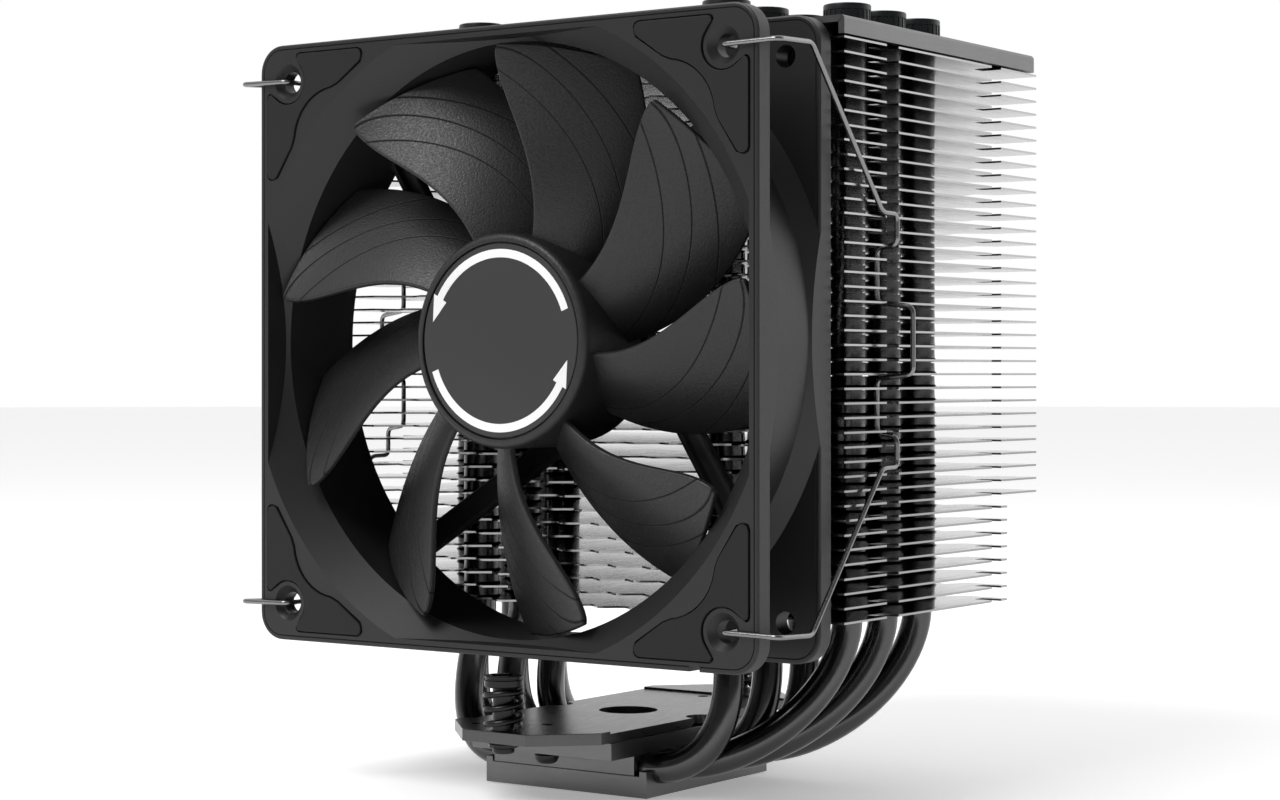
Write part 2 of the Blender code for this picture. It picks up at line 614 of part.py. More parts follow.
def bracket_screw(name, side):
    """Button-head screw that comes up through the slab into the bracket's thread."""
    under = COVER_SLAB_Z - GAP
    head = 2.4 * MM
    shank = BRACKET_SCREW_RADIUS - GAP
    profile = [
        (0, COVER_TOP_Z + GAP + 1.5 * MM), (shank, COVER_TOP_Z + GAP + 1.5 * MM), (shank, under), (head, under),
        (head * 0.95, under - 0.8 * MM), (head * 0.7, under - 1.5 * MM), (0, under - 1.8 * MM)]
    screw = turned(name, profile, PARTS, (0, side * BRACKET_SCREW_Y, 0), steps=14)
    return finish(screw, (0.02, 0.02, 0.02), 0.35, 0.6)


# ---------------------------------------------------------------- spring screws

def spring_screw(label, side):
    """Captive screw, its coil spring and the ring that stops it under the bracket."""
    y = side * SPRING_SCREW_Y
    seat = COVER_TOP_Z + GAP
    bracket_top = seat + BRACKET_THICKNESS + BRACKET_RAISE
    ring_top = seat - GAP
    ring_low = ring_top - RING_THICKNESS
    groove_top = ring_top + GAP
    groove_low = ring_low - GAP
    head_low = SCREW_HEAD_TOP_Z - SCREW_HEAD_HEIGHT
    recess = SCREW_HEAD_RADIUS * 0.62
    screw = turned("spring_screw_" + label, [
        (0, SCREW_HEAD_TOP_Z - 0.9 * MM), (recess, SCREW_HEAD_TOP_Z - 0.9 * MM),
        (recess, SCREW_HEAD_TOP_Z), (SCREW_HEAD_RADIUS - 0.4 * MM, SCREW_HEAD_TOP_Z),
        (SCREW_HEAD_RADIUS, SCREW_HEAD_TOP_Z - 0.4 * MM), (SCREW_HEAD_RADIUS, head_low),
        (SCREW_SHAFT_RADIUS, head_low), (SCREW_SHAFT_RADIUS, groove_top),
        (SCREW_GROOVE_RADIUS, groove_top), (SCREW_GROOVE_RADIUS, groove_low),
        (SCREW_SHAFT_RADIUS, groove_low), (SCREW_SHAFT_RADIUS, SCREW_TIP_Z),
        (SCREW_BORE_RADIUS, SCREW_TIP_Z), (SCREW_BORE_RADIUS, SCREW_TIP_Z + SCREW_BORE_DEPTH),
        (0, SCREW_TIP_Z + SCREW_BORE_DEPTH)], PARTS, (0, y, 0), steps=14)
    finish(screw, (0.02, 0.02, 0.02), 0.35, 0.7)

    ring = turned("retaining_ring_" + label, [
        (RING_RADIUS, ring_top), (RING_RADIUS, ring_low), (SCREW_GROOVE_RADIUS + GAP, ring_low),
        (SCREW_GROOVE_RADIUS + GAP, ring_top)], PARTS, (0, y, 0), steps=12, closed=True)
    finish(ring, (0.05, 0.05, 0.05), 0.35, 0.9)

    low = bracket_top + SPRING_WIRE_RADIUS + GAP
    high = head_low - SPRING_WIRE_RADIUS - GAP
    count = 34
    points = []
    for i in range(count):
        t = i / (count - 1)
        angle = 2 * math.pi * SPRING_TURNS * t
        height = low + (high - low) * (t + 0.012 * math.sin(2 * math.pi * t))
        points.append((SPRING_RADIUS * math.cos(angle), SPRING_RADIUS * math.sin(angle), height))
    spring = wire("screw_spring_" + label, points, SPRING_WIRE_RADIUS, PARTS, (0, y, 0))
    finish(spring, (0.03, 0.03, 0.03), 0.3, 0.9)


# ---------------------------------------------------------------- heat pipes

def leg_curve(base_y, leg, bulge, run_out):
    """Points from the base end of one leg, along X, up to where it stands upright."""
    start = Vector((BASE_HALF_WIDTH - 1.5 * MM, base_y, PIPE_BASE_Z))
    pull_out = start + Vector((run_out, 0, 0))
    pull_down = leg + bulge
    points = []
    for i in range(BEND_POINTS):
        t = i / (BEND_POINTS - 1)
        points.append(start * (1 - t) ** 3 + pull_out * (3 * t * (1 - t) ** 2)
                      + pull_down * (3 * t ** 2 * (1 - t)) + leg * t ** 3)
    return points


def heat_pipe(number, base_y, leg, bulge, run_out):
    """One closed copper tube: up one side, through the base and up the other side."""
    right = leg_curve(base_y, leg, bulge, run_out) + [Vector((leg.x, leg.y, PIPE_TIP_Z))]
    left = [Vector((-p.x, p.y, p.z)) for p in reversed(right)]
    pipe = wire("heat_pipe_%d" % number, left + right, PIPE_RADIUS, PARTS)
    return finish(pipe, (0.12, 0.12, 0.125), 0.15, 1)


# ---------------------------------------------------------------- fins, top cover, caps

def pipe_legs():
    """All twelve leg places, right side first, then left side."""
    rows = [(leg.x, leg.y) for _, leg, _, _ in pipe_rows()]
    return rows + [(-x, y) for x, y in rows]


def fin_outline(rear_y):
    """A rectangle with one clip notch in each long side."""
    deep = FIN_HALF_WIDTH - NOTCH_DEPTH
    right = [(FIN_HALF_WIDTH, FIN_FRONT_Y), (FIN_HALF_WIDTH, NOTCH_FROM_Y), (deep, NOTCH_FROM_Y),
             (deep, NOTCH_TO_Y), (FIN_HALF_WIDTH, NOTCH_TO_Y), (FIN_HALF_WIDTH, rear_y)]
    return right + [(-x, y) for x, y in reversed(right)]


def ring_of_walls(bm, lower, upper):
    """Join two matching loops of vertices by upright quads."""
    for i in range(len(lower)):
        j = (i + 1) % len(lower)
        bm.faces.new((lower[i], lower[j], upper[j], upper[i]))


def collar_webs():
    """One long rectangle round the three collars of each row of legs."""
    reach = PIPE_RADIUS + GAP + COLLAR_WALL
    webs = []
    for leg in (INNER_LEG, OUTER_LEG):
        for side in (-1, 1):
            middle = side * leg.x
            front, rear = leg.y - reach, leg.y + 2 * LEG_PITCH + reach
            webs.append([(middle - reach, front), (middle + reach, front),
                         (middle + reach, rear), (middle - reach, rear)])
    return webs


def fin_stack(name, first, count, rear_y):
    """Fins on one pitch, joined by the collars that each fin presses round the pipes.

    The stack is laid as one skin, level by level: a union of this many parallel sheets loses faces.
    """
    half = FIN_THICKNESS / 2
    edge = fin_outline(rear_y)
    webs = collar_webs()
    bores = [arc(leg, PIPE_RADIUS + GAP, 0, 360, BORE_SIDES + 1)[:-1] for leg in pipe_legs()]
    bm = bmesh.new()

    def level(z, holes):
        """Lay one face of a fin with its holes and return its loops of vertices."""
        loops = [[Vector((x, y, z)) for x, y in loop] for loop in [edge] + holes]
        rings = [[bm.verts.new(spot) for spot in loop] for loop in loops]
        flat = [vert for ring in rings for vert in ring]
        for corners in tessellate_polygon(loops):
            bm.faces.new([flat[i] for i in corners])
        return rings

    upper = foot = None
    for k in range(count):
        middle = FIN_BOTTOM_Z + (first + k) * FIN_PITCH
        under = level(middle - half, webs if upper else bores)
        if upper:
            for below, above in zip(upper[1:], under[1:]):
                ring_of_walls(bm, below, above)
        else:
            foot = under
        upper = level(middle + half, webs if k < count - 1 else bores)
        ring_of_walls(bm, under[0], upper[0])
    for below, above in zip(foot[1:], upper[1:]):
        ring_of_walls(bm, below, above)
    return finish(from_bmesh(name, bm, PARTS), (0.35, 0.35, 0.355), 0.35, 1)


def top_cover():
    """Shallow folded lid over the top fin, with twelve holes for the pipes."""
    bm = bmesh.new()
    low = Vector((-FIN_HALF_WIDTH, FIN_FRONT_Y, TOP_Z - TOP_SKIRT))
    high = Vector((FIN_HALF_WIDTH, FIN_REAR_Y, TOP_Z))
    shape = Matrix.Translation((low + high) / 2) @ Matrix.Diagonal((*(high - low), 1))
    bmesh.ops.create_cube(bm, size=1, matrix=shape)
    soft = [e for e in bm.edges if max(v.co.z for v in e.verts) > TOP_Z - 0.1 * MM]
    bmesh.ops.bevel(bm, geom=soft, offset=1.8 * MM, segments=2, profile=0.5, affect="EDGES")
    floor = [f for f in bm.faces if f.normal.z < -0.9]
    bmesh.ops.delete(bm, geom=floor, context="FACES")
    lid = from_bmesh("top_plate", bm, PARTS)
    wall = lid.modifiers.new("sheet", "SOLIDIFY")
    wall.thickness = TOP_WALL
    wall.offset = -1
    for k, (x, y) in enumerate(pipe_legs()):
        cut(lid, cylinder("top_hole_%d" % k, PIPE_RADIUS + GAP, (x, y, TOP_Z - 2 * MM),
                          (x, y, TOP_Z + 2 * MM), TOOLS, sides=10))
    return finish(lid, (0.18, 0.18, 0.185), 0.4, 1)


def pipe_cap(number, x, y):
    """Push-on plastic cap over the tip of one leg."""
    low = TOP_Z + GAP
    bore = PIPE_RADIUS + GAP
    roof = PIPE_TIP_Z + GAP
    cap = turned("pipe_cap_%02d" % number, [
        (0, CAP_TOP_Z), (CAP_RADIUS - 0.8 * MM, CAP_TOP_Z), (CAP_RADIUS, CAP_TOP_Z - 0.8 * MM),
        (CAP_RADIUS, low), (bore, low), (bore, roof), (0, roof)], PARTS, (x, y, 0), steps=10)
    return finish(cap, (0.015, 0.016, 0.018), 0.4, 0)


# ---------------------------------------------------------------- assembly

def clear():
    for obj in list(bpy.data.objects):
        bpy.data.objects.remove(obj)


def build():
    clear()
    bpy.context.scene.collection.children.link(PARTS)
    bpy.context.scene.collection.children.link(TOOLS)
    fan_frame(pads(front=True) + pads(front=False))
    rotor()
    motor()
    clip("fan_clip_right", 1)
    clip("fan_clip_left", -1)
    cold_plate()
    cover()
    bracket()
    for label, side in (("front", -1), ("rear", 1)):
        bracket_screw("bracket_screw_" + label, side)
        spring_screw(label, side)
    for number, row in enumerate(pipe_rows(), start=1):
        heat_pipe(number, *row)
    fin_stack("fin_stack_lower", 0, SHORT_FIN_COUNT, SHORT_FIN_REAR_Y)
    fin_stack("fin_stack_upper", SHORT_FIN_COUNT, FIN_COUNT - SHORT_FIN_COUNT, FIN_REAR_Y)
    top_cover()
    for number, (x, y) in enumerate(pipe_legs(), start=1):
        pipe_cap(number, x, y)


build()
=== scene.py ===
# %% [markdown]
# # A tower cooler, piece by piece
# A tower cooler carries heat from a processor through bent pipes into a stack of thin fins, and a
# 120 mm fan blows through the stack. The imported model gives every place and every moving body.
# This lesson puts the visible pieces over it, one cell at a time, and then gives each its finish.

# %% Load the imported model
import math

import bmesh
import bpy
from mathutils import Matrix, Vector


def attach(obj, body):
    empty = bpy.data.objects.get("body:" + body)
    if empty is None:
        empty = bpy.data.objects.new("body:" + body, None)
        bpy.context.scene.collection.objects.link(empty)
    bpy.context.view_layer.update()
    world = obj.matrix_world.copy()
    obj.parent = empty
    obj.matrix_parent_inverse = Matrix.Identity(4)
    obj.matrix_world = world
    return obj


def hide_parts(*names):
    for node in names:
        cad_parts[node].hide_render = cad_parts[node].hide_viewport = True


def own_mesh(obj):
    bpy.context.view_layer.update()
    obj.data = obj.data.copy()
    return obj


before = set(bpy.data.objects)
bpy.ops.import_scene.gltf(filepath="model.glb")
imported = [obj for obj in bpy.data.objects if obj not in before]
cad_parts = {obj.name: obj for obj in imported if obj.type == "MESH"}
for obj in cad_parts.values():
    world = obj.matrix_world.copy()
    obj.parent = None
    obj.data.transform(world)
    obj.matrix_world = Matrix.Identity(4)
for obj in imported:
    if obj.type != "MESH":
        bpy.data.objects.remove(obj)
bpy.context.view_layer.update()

MM = 0.001

# %% [markdown]
# ## A camera first
# A camera with a fixed place makes each test picture comparable with the last. It stands level
# with the fan's middle, turned to the fan's right, with a longer lens than the eye so that the
# square frame stays square. A small shift centres the object without tilting the camera.

# %% Camera
bpy.ops.object.select_all(action="DESELECT")
bpy.ops.object.camera_add(location=(0.30866, -0.43300, 0.08214),
                          rotation=(math.radians(90), 0, math.radians(34.898)))
camera = bpy.context.object
camera.data.lens = 73.27
camera.data.sensor_width = 36
camera.data.shift_x = -0.01167
camera.data.shift_y = -0.02071
bpy.context.scene.camera = camera
print("camera lens:", camera.data.lens, "mm")

# %% [markdown]
# ## Small helpers for modelling by hand
# Every piece below starts as a primitive and is shaped in edit mode. Operators act on what is
# selected, so these helpers deselect first, then pick by place or direction, as a hand would.

# %% Selecting and naming
def only(obj):
    """Make one object the selected and active one."""
    bpy.ops.object.select_all(action="DESELECT")
    obj.select_set(True)
    bpy.context.view_layer.objects.active = obj


def settle(name):
    """Name the object just added and put its place, turn and size into its mesh."""
    obj = bpy.context.object
    obj.name = obj.data.name = name
    bpy.ops.object.transform_apply(location=True, rotation=True, scale=True)
    return obj


def pick(obj, kind, test):
    """In edit mode, select the vertices, edges or faces that pass a test."""
    bpy.ops.mesh.select_mode(type=kind)
    bpy.ops.mesh.select_all(action="DESELECT")
    bm = bmesh.from_edit_mesh(obj.data)
    for item in {"VERT": bm.verts, "EDGE": bm.edges, "FACE": bm.faces}[kind]:
        if test(item):
            item.select_set(True)
    bmesh.update_edit_mesh(obj.data)


def smooth(obj, degrees=32):
    """Shade softly, but keep corners sharper than an angle crisp."""
    only(obj)
    bpy.ops.object.shade_smooth_by_angle(angle=math.radians(degrees))
    return obj


def join(name, pieces):
    """Make several objects one."""
    only(pieces[0])
    for piece in pieces[1:]:
        piece.select_set(True)
    bpy.ops.object.join()
    return settle(name)


# %% Booleans and arrays, applied at once
def combine(obj, other, how):
    """Cut with, add or keep the overlap with another solid, then drop that solid."""
    only(obj)
    bpy.ops.object.modifier_add(type="BOOLEAN")
    step = obj.modifiers[-1]
    step.operation = how
    step.object = other
    bpy.ops.object.modifier_apply(modifier=step.name)
    bpy.data.objects.remove(other)
    return obj


def repeat(obj, count, step_z):
    """Copy a piece upwards a number of times."""
    only(obj)
    bpy.ops.object.modifier_add(type="ARRAY")
    array = obj.modifiers[-1]
    array.count = count
    array.use_relative_offset = False
    array.use_constant_offset = True
    array.constant_offset_displace = (0, 0, step_z)
    bpy.ops.object.modifier_apply(modifier=array.name)
    return obj


def twin(obj, name, matrix=Matrix.Identity(4)):
    """A copy with its own mesh, moved by a matrix."""
    copy = obj.copy()
    copy.data = obj.data.copy()
    copy.data.transform(matrix)
    copy.name = copy.data.name = name
    bpy.context.collection.objects.link(copy)
    if matrix.determinant() < 0:
        copy.data.flip_normals()
    return copy


# %% [markdown]
# ## Five ways to make a shape
# A **block** is a cube with some edges rounded. A **chain** is one vertex pulled from point to
# point. A chain can then be filled and pulled into a **plate**, spun into a **turned** piece as on
# a lathe, or given a round section as a **wire**. Those five make almost the whole cooler.

# %% Block, chain, plate, turned piece and wire
def block(name, low, high, radius=0.0, along=None, segments=6):
    """A box between two corners in millimetres; edges along one axis can be rounded."""
    low, high = Vector(low) * MM, Vector(high) * MM
    bpy.ops.object.select_all(action="DESELECT")
    bpy.ops.mesh.primitive_cube_add(size=1, location=(low + high) / 2, scale=high - low)
    obj = settle(name)
    if radius:
        bpy.ops.object.mode_set(mode="EDIT")
        pick(obj, "EDGE", lambda e: along is None
             or abs((e.verts[0].co - e.verts[1].co).normalized()[along]) > 0.9)
        bpy.ops.mesh.bevel(offset=radius * MM, segments=segments, affect="EDGES")
        bpy.ops.object.mode_set(mode="OBJECT")
    return obj


def chain(name, points):
    """One vertex, pulled from point to point (millimetres). Stays in edit mode, all selected."""
    points = [Vector(point) * MM for point in points]
    bpy.ops.object.select_all(action="DESELECT")
    bpy.ops.mesh.primitive_plane_add(size=1 * MM, location=points[0])
    obj = settle(name)
    bpy.ops.object.mode_set(mode="EDIT")
    bpy.ops.mesh.select_mode(type="VERT")
    bpy.ops.mesh.select_all(action="SELECT")
    bpy.ops.mesh.merge(type="CENTER")
    for here, there in zip(points, points[1:]):
        bpy.ops.mesh.extrude_vertices_move(TRANSFORM_OT_translate={"value": there - here})
    bpy.ops.mesh.select_all(action="SELECT")
    return obj


def plate(name, outline, thickness, bevel=0.0):
    """Fill a closed outline and pull it along a vector; bevel rounds the rim (millimetres)."""
    obj = chain(name, outline)
    bpy.ops.mesh.edge_face_add()
    bpy.ops.mesh.extrude_region_move(TRANSFORM_OT_translate={"value": Vector(thickness) * MM})
    bpy.ops.mesh.select_all(action="SELECT")
    bpy.ops.mesh.normals_make_consistent(inside=False)
    if bevel:
        way = Vector(thickness).normalized()
        pick(obj, "EDGE", lambda e: abs((e.verts[0].co - e.verts[1].co).normalized().dot(way)) < 0.5)
        bpy.ops.mesh.bevel(offset=bevel * MM, segments=2, affect="EDGES")
    bpy.ops.object.mode_set(mode="OBJECT")
    return obj


def turned(name, profile, centre, axis=(0, 0, 1), steps=48):
    """Spin a profile of (radius, height) points about an axis (millimetres)."""
    axis, centre = Vector(axis), Vector(centre)
    obj = chain(name, [centre + Vector((radius, 0, 0)) + axis * height for radius, height in profile])
    bpy.ops.mesh.spin(steps=steps, angle=2 * math.pi, center=centre * MM, axis=axis)
    bpy.ops.mesh.select_all(action="SELECT")
    bpy.ops.mesh.remove_doubles(threshold=0.002 * MM)
    bpy.ops.mesh.normals_make_consistent(inside=False)
    bpy.ops.object.mode_set(mode="OBJECT")
    return smooth(obj)


def wire(name, path, radius, roundness=5):
    """A round bar along a path (millimetres)."""
    obj = chain(name, path)
    bpy.ops.object.mode_set(mode="OBJECT")
    only(obj)
    bpy.ops.object.convert(target="CURVE")
    curve = bpy.context.object
    curve.data.bevel_depth = radius * MM
    curve.data.bevel_resolution = roundness
    curve.data.use_fill_caps = True
    bpy.ops.object.convert(target="MESH")
    bpy.ops.object.mode_set(mode="EDIT")
    bpy.ops.mesh.select_all(action="SELECT")
    bpy.ops.mesh.remove_doubles(threshold=0.002 * MM)
    bpy.ops.mesh.normals_make_consistent(inside=False)
    bpy.ops.object.mode_set(mode="OBJECT")
    return smooth(settle(name), 50)


def rounded(corners, radius, steps=6):
    """Turn each inner corner of a path into a short curve."""
    corners = [Vector(corner) for corner in corners]
    path = [corners[0]]
    for before, corner, after in zip(corners, corners[1:], corners[2:]):
        reach = min(radius, (before - corner).length * 0.48, (after - corner).length * 0.48)
        start = corner + (before - corner).normalized() * reach
        end = corner + (after - corner).normalized() * reach
        for i in range(steps + 1):
            t = i / steps
            path.append(start * (1 - t) ** 2 + corner * (2 * t * (1 - t)) + end * t ** 2)
    return path + [corners[-1]]


def arc(centre, radius, first, last, count):
    """Points on a circle between two angles in degrees."""
    angles = [math.radians(first + (last - first) * i / (count - 1)) for i in range(count)]
    return [(centre[0] + radius * math.cos(a), centre[1] + radius * math.sin(a)) for a in angles]


# %% [markdown]
# ## Finishes: sums written as sums
# A shader is arithmetic on a surface. Wrapping a socket in a small class lets the arithmetic be
# written as Python, and each operator adds its own Math node. Noise and coordinates come from
# one method that takes a node's type, its settings and its inputs.

# %% Signals and finishes
class Signal:
    """A socket whose value can be used in sums."""

    def __init__(self, finish, socket):
        self.finish = finish
        self.socket = socket

    def sum(self, operation, first, second):
        return self.finish.node("Math", {"operation": operation}, {0: first, 1: second})

    def __add__(self, other):
        return self.sum("ADD", self, other)

    def __sub__(self, other):
        return self.sum("SUBTRACT", self, other)

    def __rsub__(self, other):
        return self.sum("SUBTRACT", other, self)

    def __mul__(self, other):
        return self.sum("MULTIPLY", self, other)

    def __truediv__(self, other):
        return self.sum("DIVIDE", self, other)

    def above(self, other):
        return self.sum("MAXIMUM", self, other)

    def size(self):
        return self.sum("ABSOLUTE", self, 0)

    __radd__ = __add__
    __rmul__ = __mul__


class Finish:
    """A Principled material that is built up from signals."""

    def __init__(self, name, **constants):
        self.material = bpy.data.materials.new(name)
        self.material.use_nodes = True
        self.tree = self.material.node_tree
        self.shader = self.tree.nodes["Principled BSDF"]
        self.place = self.node("TexCoord", output="Object")
        for socket, value in constants.items():
            self.feed(self.shader.inputs[socket.replace("_", " ")], value)

    def feed(self, socket, value):
        if isinstance(value, Signal):
            self.tree.links.new(value.socket, socket)
        else:
            socket.default_value = value

    def node(self, kind, settings=None, inputs=None, output=0):
        """Add a node: its settings first, then the values or links of its sockets."""
        node = self.tree.nodes.new("ShaderNode" + kind)
        for key, value in (settings or {}).items():
            setattr(node, key, value)
        for key, value in (inputs or {}).items():
            self.feed(node.inputs[key], value)
        return Signal(self, node.outputs[output])

    def noise(self, size_mm, detail=2.0, stretch=(1, 1, 1)):
        """Noise whose grains are about size_mm across, stretched along any axis."""
        spot = self.node("Mapping", {}, {"Vector": self.place, "Scale": [1 / s for s in stretch]})
        return self.node("TexNoise", {}, {"Vector": spot, "Scale": 1 / (size_mm * MM), "Detail": detail})

    def mix(self, factor, first, second):
        """Blend two colours, given as grey levels or as red, green and blue."""
        pair = [(*c, 1) if isinstance(c, tuple) else (c, c, c, 1) for c in (first, second)]
        return self.node("Mix", {"data_type": "RGBA"}, {0: factor, 6: pair[0], 7: pair[1]}, 2)

    def surface(self, colour=None, roughness=None, height=None, depth_mm=0.02, strength=0.5):
        """Send signals to the shader's colour, roughness and bump."""
        if colour is not None:
            self.feed(self.shader.inputs["Base Color"], colour)
        if roughness is not None:
            self.feed(self.shader.inputs["Roughness"], roughness)
        if height is not None:
            relief = {"Height": height, "Distance": depth_mm * MM, "Strength": strength}
            bump = self.node("Bump", {}, relief)
            self.feed(self.shader.inputs["Normal"], bump)
        return self.material


# %% [markdown]
# ## Moulded plastics and rubber
# Fan mouldings come from tools with a spark-eroded skin: a fine even grain that breaks up
# highlights. The frame, blades, pads and caps share that recipe, but not its grain size, depth
# or darkness. Slow noise adds the faint unevenness of real mouldings.

# %% Plastic finishes
def moulded(name, grey, rough, grain_mm, strength, specular=0.4, tint=(1, 1, 1)):
    """Dark plastic with an even grain and a slow, faint change of tone."""
    finish = Finish(name, Specular_IOR_Level=specular)
    grain = finish.noise(grain_mm, 3)
    tone = finish.noise(35, 1)
    low, high = (tuple(grey * part * channel for channel in tint) for part in (0.8, 1.25))
    finish.surface(finish.mix(tone, low, high), rough + (grain - 0.5) * 0.25, grain, 0.05, strength)
    return finish


frame_plastic = moulded("frame_plastic", 0.013, 0.42, 0.35, 0.25).material
pad_rubber = moulded("pad_rubber", 0.008, 0.55, 0.5, 0.35, 0.3).material
cap_plastic = moulded("cap_plastic", 0.008, 0.38, 0.4, 0.12, 0.4, (0.8, 1, 1.2)).material
badge_face = moulded("badge_face", 0.033, 0.4, 0.25, 0.15, 0.35).material
badge_print = moulded("badge_print", 0.82, 0.4, 0.3, 0.1, 0.3).material
print("plastic finishes:", [m.name for m in bpy.data.materials if "plastic" in m.name])

# %% [markdown]
# ### Blade plastic with three moulded lines
# Each blade carries three fine lines that start near its leading tip and bow over to the trailing
# edge. They follow the blade, not space, so they are drawn on its own UV map: U runs across the
# blade from its leading edge, V runs out from hub to tip, and each line is a parabola in U and V.

# %% Blade finish
def blade_finish():
    finish = Finish("blade_plastic", Specular_IOR_Level=0.4)
    grain = finish.noise(0.42, 3)
    split = finish.node("UVMap", {"uv_map": "UVMap"})
    chord = finish.node("SeparateXYZ", {}, {0: split}, "X")
    span = finish.node("SeparateXYZ", {}, {0: split}, "Y")
    line = 0.0
    for start, slant, bow in ((1.074, 0.0, 0.512), (0.98, 0.0, 0.84), (0.87, 0.55, 0.45)):
        miss = span + chord * slant + chord * chord * bow - start
        line = (1.4 - miss.size() / 0.008).above(0) + line
    tone = finish.noise(30, 1)
    base = finish.mix(tone, 0.012, 0.02)
    # The lines are shallow grooves in the bump and roughness, and their near-black colour is painted
    # shade in the grooves.
    colour_with_painted_groove_shade = finish.node("Mix", {"data_type": "RGBA"}, {0: line, 6: base, 7: (0.001, 0.001, 0.001, 1)}, 2)
    return finish.surface(colour_with_painted_groove_shade, 0.42 + (grain - 0.5) * 0.6 + line * 0.4, grain - line * 0.5, 0.12, 0.55)


blade_plastic = blade_finish()
print("blade nodes:", len(blade_plastic.node_tree.nodes))

# %% [markdown]
# ## Metals
# Three treatments matter. The heat pipes are copper under glossy black nickel. Fins, base and
# bracket have a satin dark plating that shows the rolling or milling direction as faint streaks.
# The clips are drawn spring wire, and the screws and springs are blackened steel.

# %% Metal finishes
def plated(name, grey, rough, streak_mm, stretch, strength, spread=0.15):
    """Dark metal with streaks along its working direction."""
    finish = Finish(name, Metallic=1.0)
    streak = finish.noise(streak_mm, 3, stretch)
    tone = finish.noise(28, 2)
    colour = finish.mix(tone, grey * (1 - spread), grey * (1 + spread))
    return finish.surface(colour, rough + (streak - 0.5) * 0.16, streak, 0.02, strength)


pipe_nickel = plated("pipe_nickel", 0.085, 0.2, 1.2, (1, 1, 6), 0.02)
fin_sheet = plated("fin_sheet", 0.34, 0.16, 0.8, (1, 14, 1), 0.02)
# The collars are pressed from the fin sheet; their far darker grey than fin_sheet is painted shade
# between the fins.
collar_painted_shade = plated("collar_painted_shade", 0.09, 0.2, 0.8, (1, 1, 1), 0.02)
lid_sheet = plated("lid_sheet", 0.16, 0.36, 0.4, (1, 12, 1), 0.15)
base_metal = plated("base_metal", 0.17, 0.34, 0.3, (12, 1, 1), 0.20)
bracket_metal = plated("bracket_metal", 0.10, 0.3, 0.35, (1, 10, 1), 0.18)
clip_steel = plated("clip_steel", 0.22, 0.25, 0.3, (1, 1, 8), 0.05)
black_steel = plated("black_steel", 0.035, 0.33, 0.4, (1, 1, 3), 0.2)
bearing_bronze = plated("bearing_bronze", 0.3, 0.4, 0.3, (1, 6, 1), 0.2)
magnet_black = moulded("magnet_black", 0.03, 0.6, 0.4, 0.3).material
board_green = moulded("board_green", 0.02, 0.35, 0.8, 0.2).material
winding_copper = plated("winding_copper", 0.35, 0.35, 0.3, (6, 1, 1), 0.4)
print("materials:", len(bpy.data.materials))


def dress(piece, body, finish, slot, *nodes):
    """Flatten a piece's large faces, then give it its finish and body and hide its CAD nodes; slot is
    not used.
    """
    only(piece)
    bpy.ops.object.modifier_add(type="WEIGHTED_NORMAL")
    piece.modifiers[-1].keep_sharp = True
    bpy.ops.object.modifier_apply(modifier=piece.modifiers[-1].name)
    piece.data.materials.clear()
    piece.data.materials.append(finish)
    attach(piece, body)
    if nodes:
        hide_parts(*nodes)
    return piece


# %% [markdown]
# ## The fan frame
# A fan frame is one moulding: two square flanges, a round barrel between them, a flared mouth and
# four struts that hold the motor. Solids are added and cut in the order a toolmaker would think
# of them. The flanges get their rounded corners and softened rims first, while they are simple.

# %% Flanges and barrel
FAN = Vector((0, -44.5, 88.4))              # middle of the fan's front face, millimetres
HALF = 60                                   # half of the 120 mm frame
DEPTH = 25                                  # frame depth
HOLE = 52.5                                 # half of the 105 mm hole pitch


def flange(name, near, far):
    """A square plate with rounded corners and softened rims."""
    obj = block(name, FAN + Vector((-HALF, near, -HALF)), FAN + Vector((HALF, far, HALF)), 5.5, 1, 10)
    only(obj)
    bpy.ops.object.mode_set(mode="EDIT")
    pick(obj, "EDGE", lambda e: abs(e.verts[0].co.y - e.verts[1].co.y) < 0.01 * MM)
    bpy.ops.mesh.bevel(offset=0.35 * MM, segments=2, affect="EDGES")
    pick(obj, "FACE", lambda f: f.normal.y < -0.99)
    bpy.ops.mesh.inset(thickness=0.45 * MM)
    bpy.ops.mesh.inset(thickness=0.12 * MM, depth=-0.2 * MM)
    bpy.ops.mesh.inset(thickness=0.12 * MM, depth=0.2 * MM)
    bpy.ops.object.mode_set(mode="OBJECT")
    return obj


def drum(name, radius, near, far, sides=128, far_radius=None):
    """A bar or cone along the fan's axis."""
    far_radius = radius if far_radius is None else far_radius
    return turned(name, [(0, near), (radius, near), (far_radius, far), (0, far)], FAN, (0, 1, 0), sides)


shell = flange("fan_frame_look", 0, 4)
combine(shell, flange("rear_flange", DEPTH - 4, DEPTH), "UNION")
combine(shell, drum("barrel", 59.6, 1, DEPTH - 1), "UNION")
inside = block("inside", FAN + Vector((-HALF, 0, -HALF)), FAN + Vector((HALF, DEPTH, HALF)))
for near, near_radius, far_radius in ((3, 63.9, 59.6), (DEPTH - 7.3, 59.6, 63.9)):
    flare = drum("flare", near_radius, near, near + 4.3, far_radius=far_radius)
    combine(flare, twin(inside, "limit"), "INTERSECT")
    combine(shell, flare, "UNION")
bpy.data.objects.remove(inside)
combine(shell, drum("bore", 57.4, -1, DEPTH + 1), "DIFFERENCE")
mouth = drum("mouth", 62.9 + 0.917, -1, 6, far_radius=57.4)
flats = block("flats", FAN + Vector((-58, -3, -58)), FAN + Vector((58, 7, 58)), 8, 1, 8)
combine(mouth, flats, "INTERSECT")
combine(shell, mouth, "DIFFERENCE")
print("frame faces so far:", len(shell.data.polygons))

# %% [markdown]
# ### Motor mount, struts and screw holes
# The rear carries a round mount on four struts that lean past the axis. Two are channels. The
# screw holes are 4.3 mm wide with a countersink, and a thin slot near one corner lets a lead out.

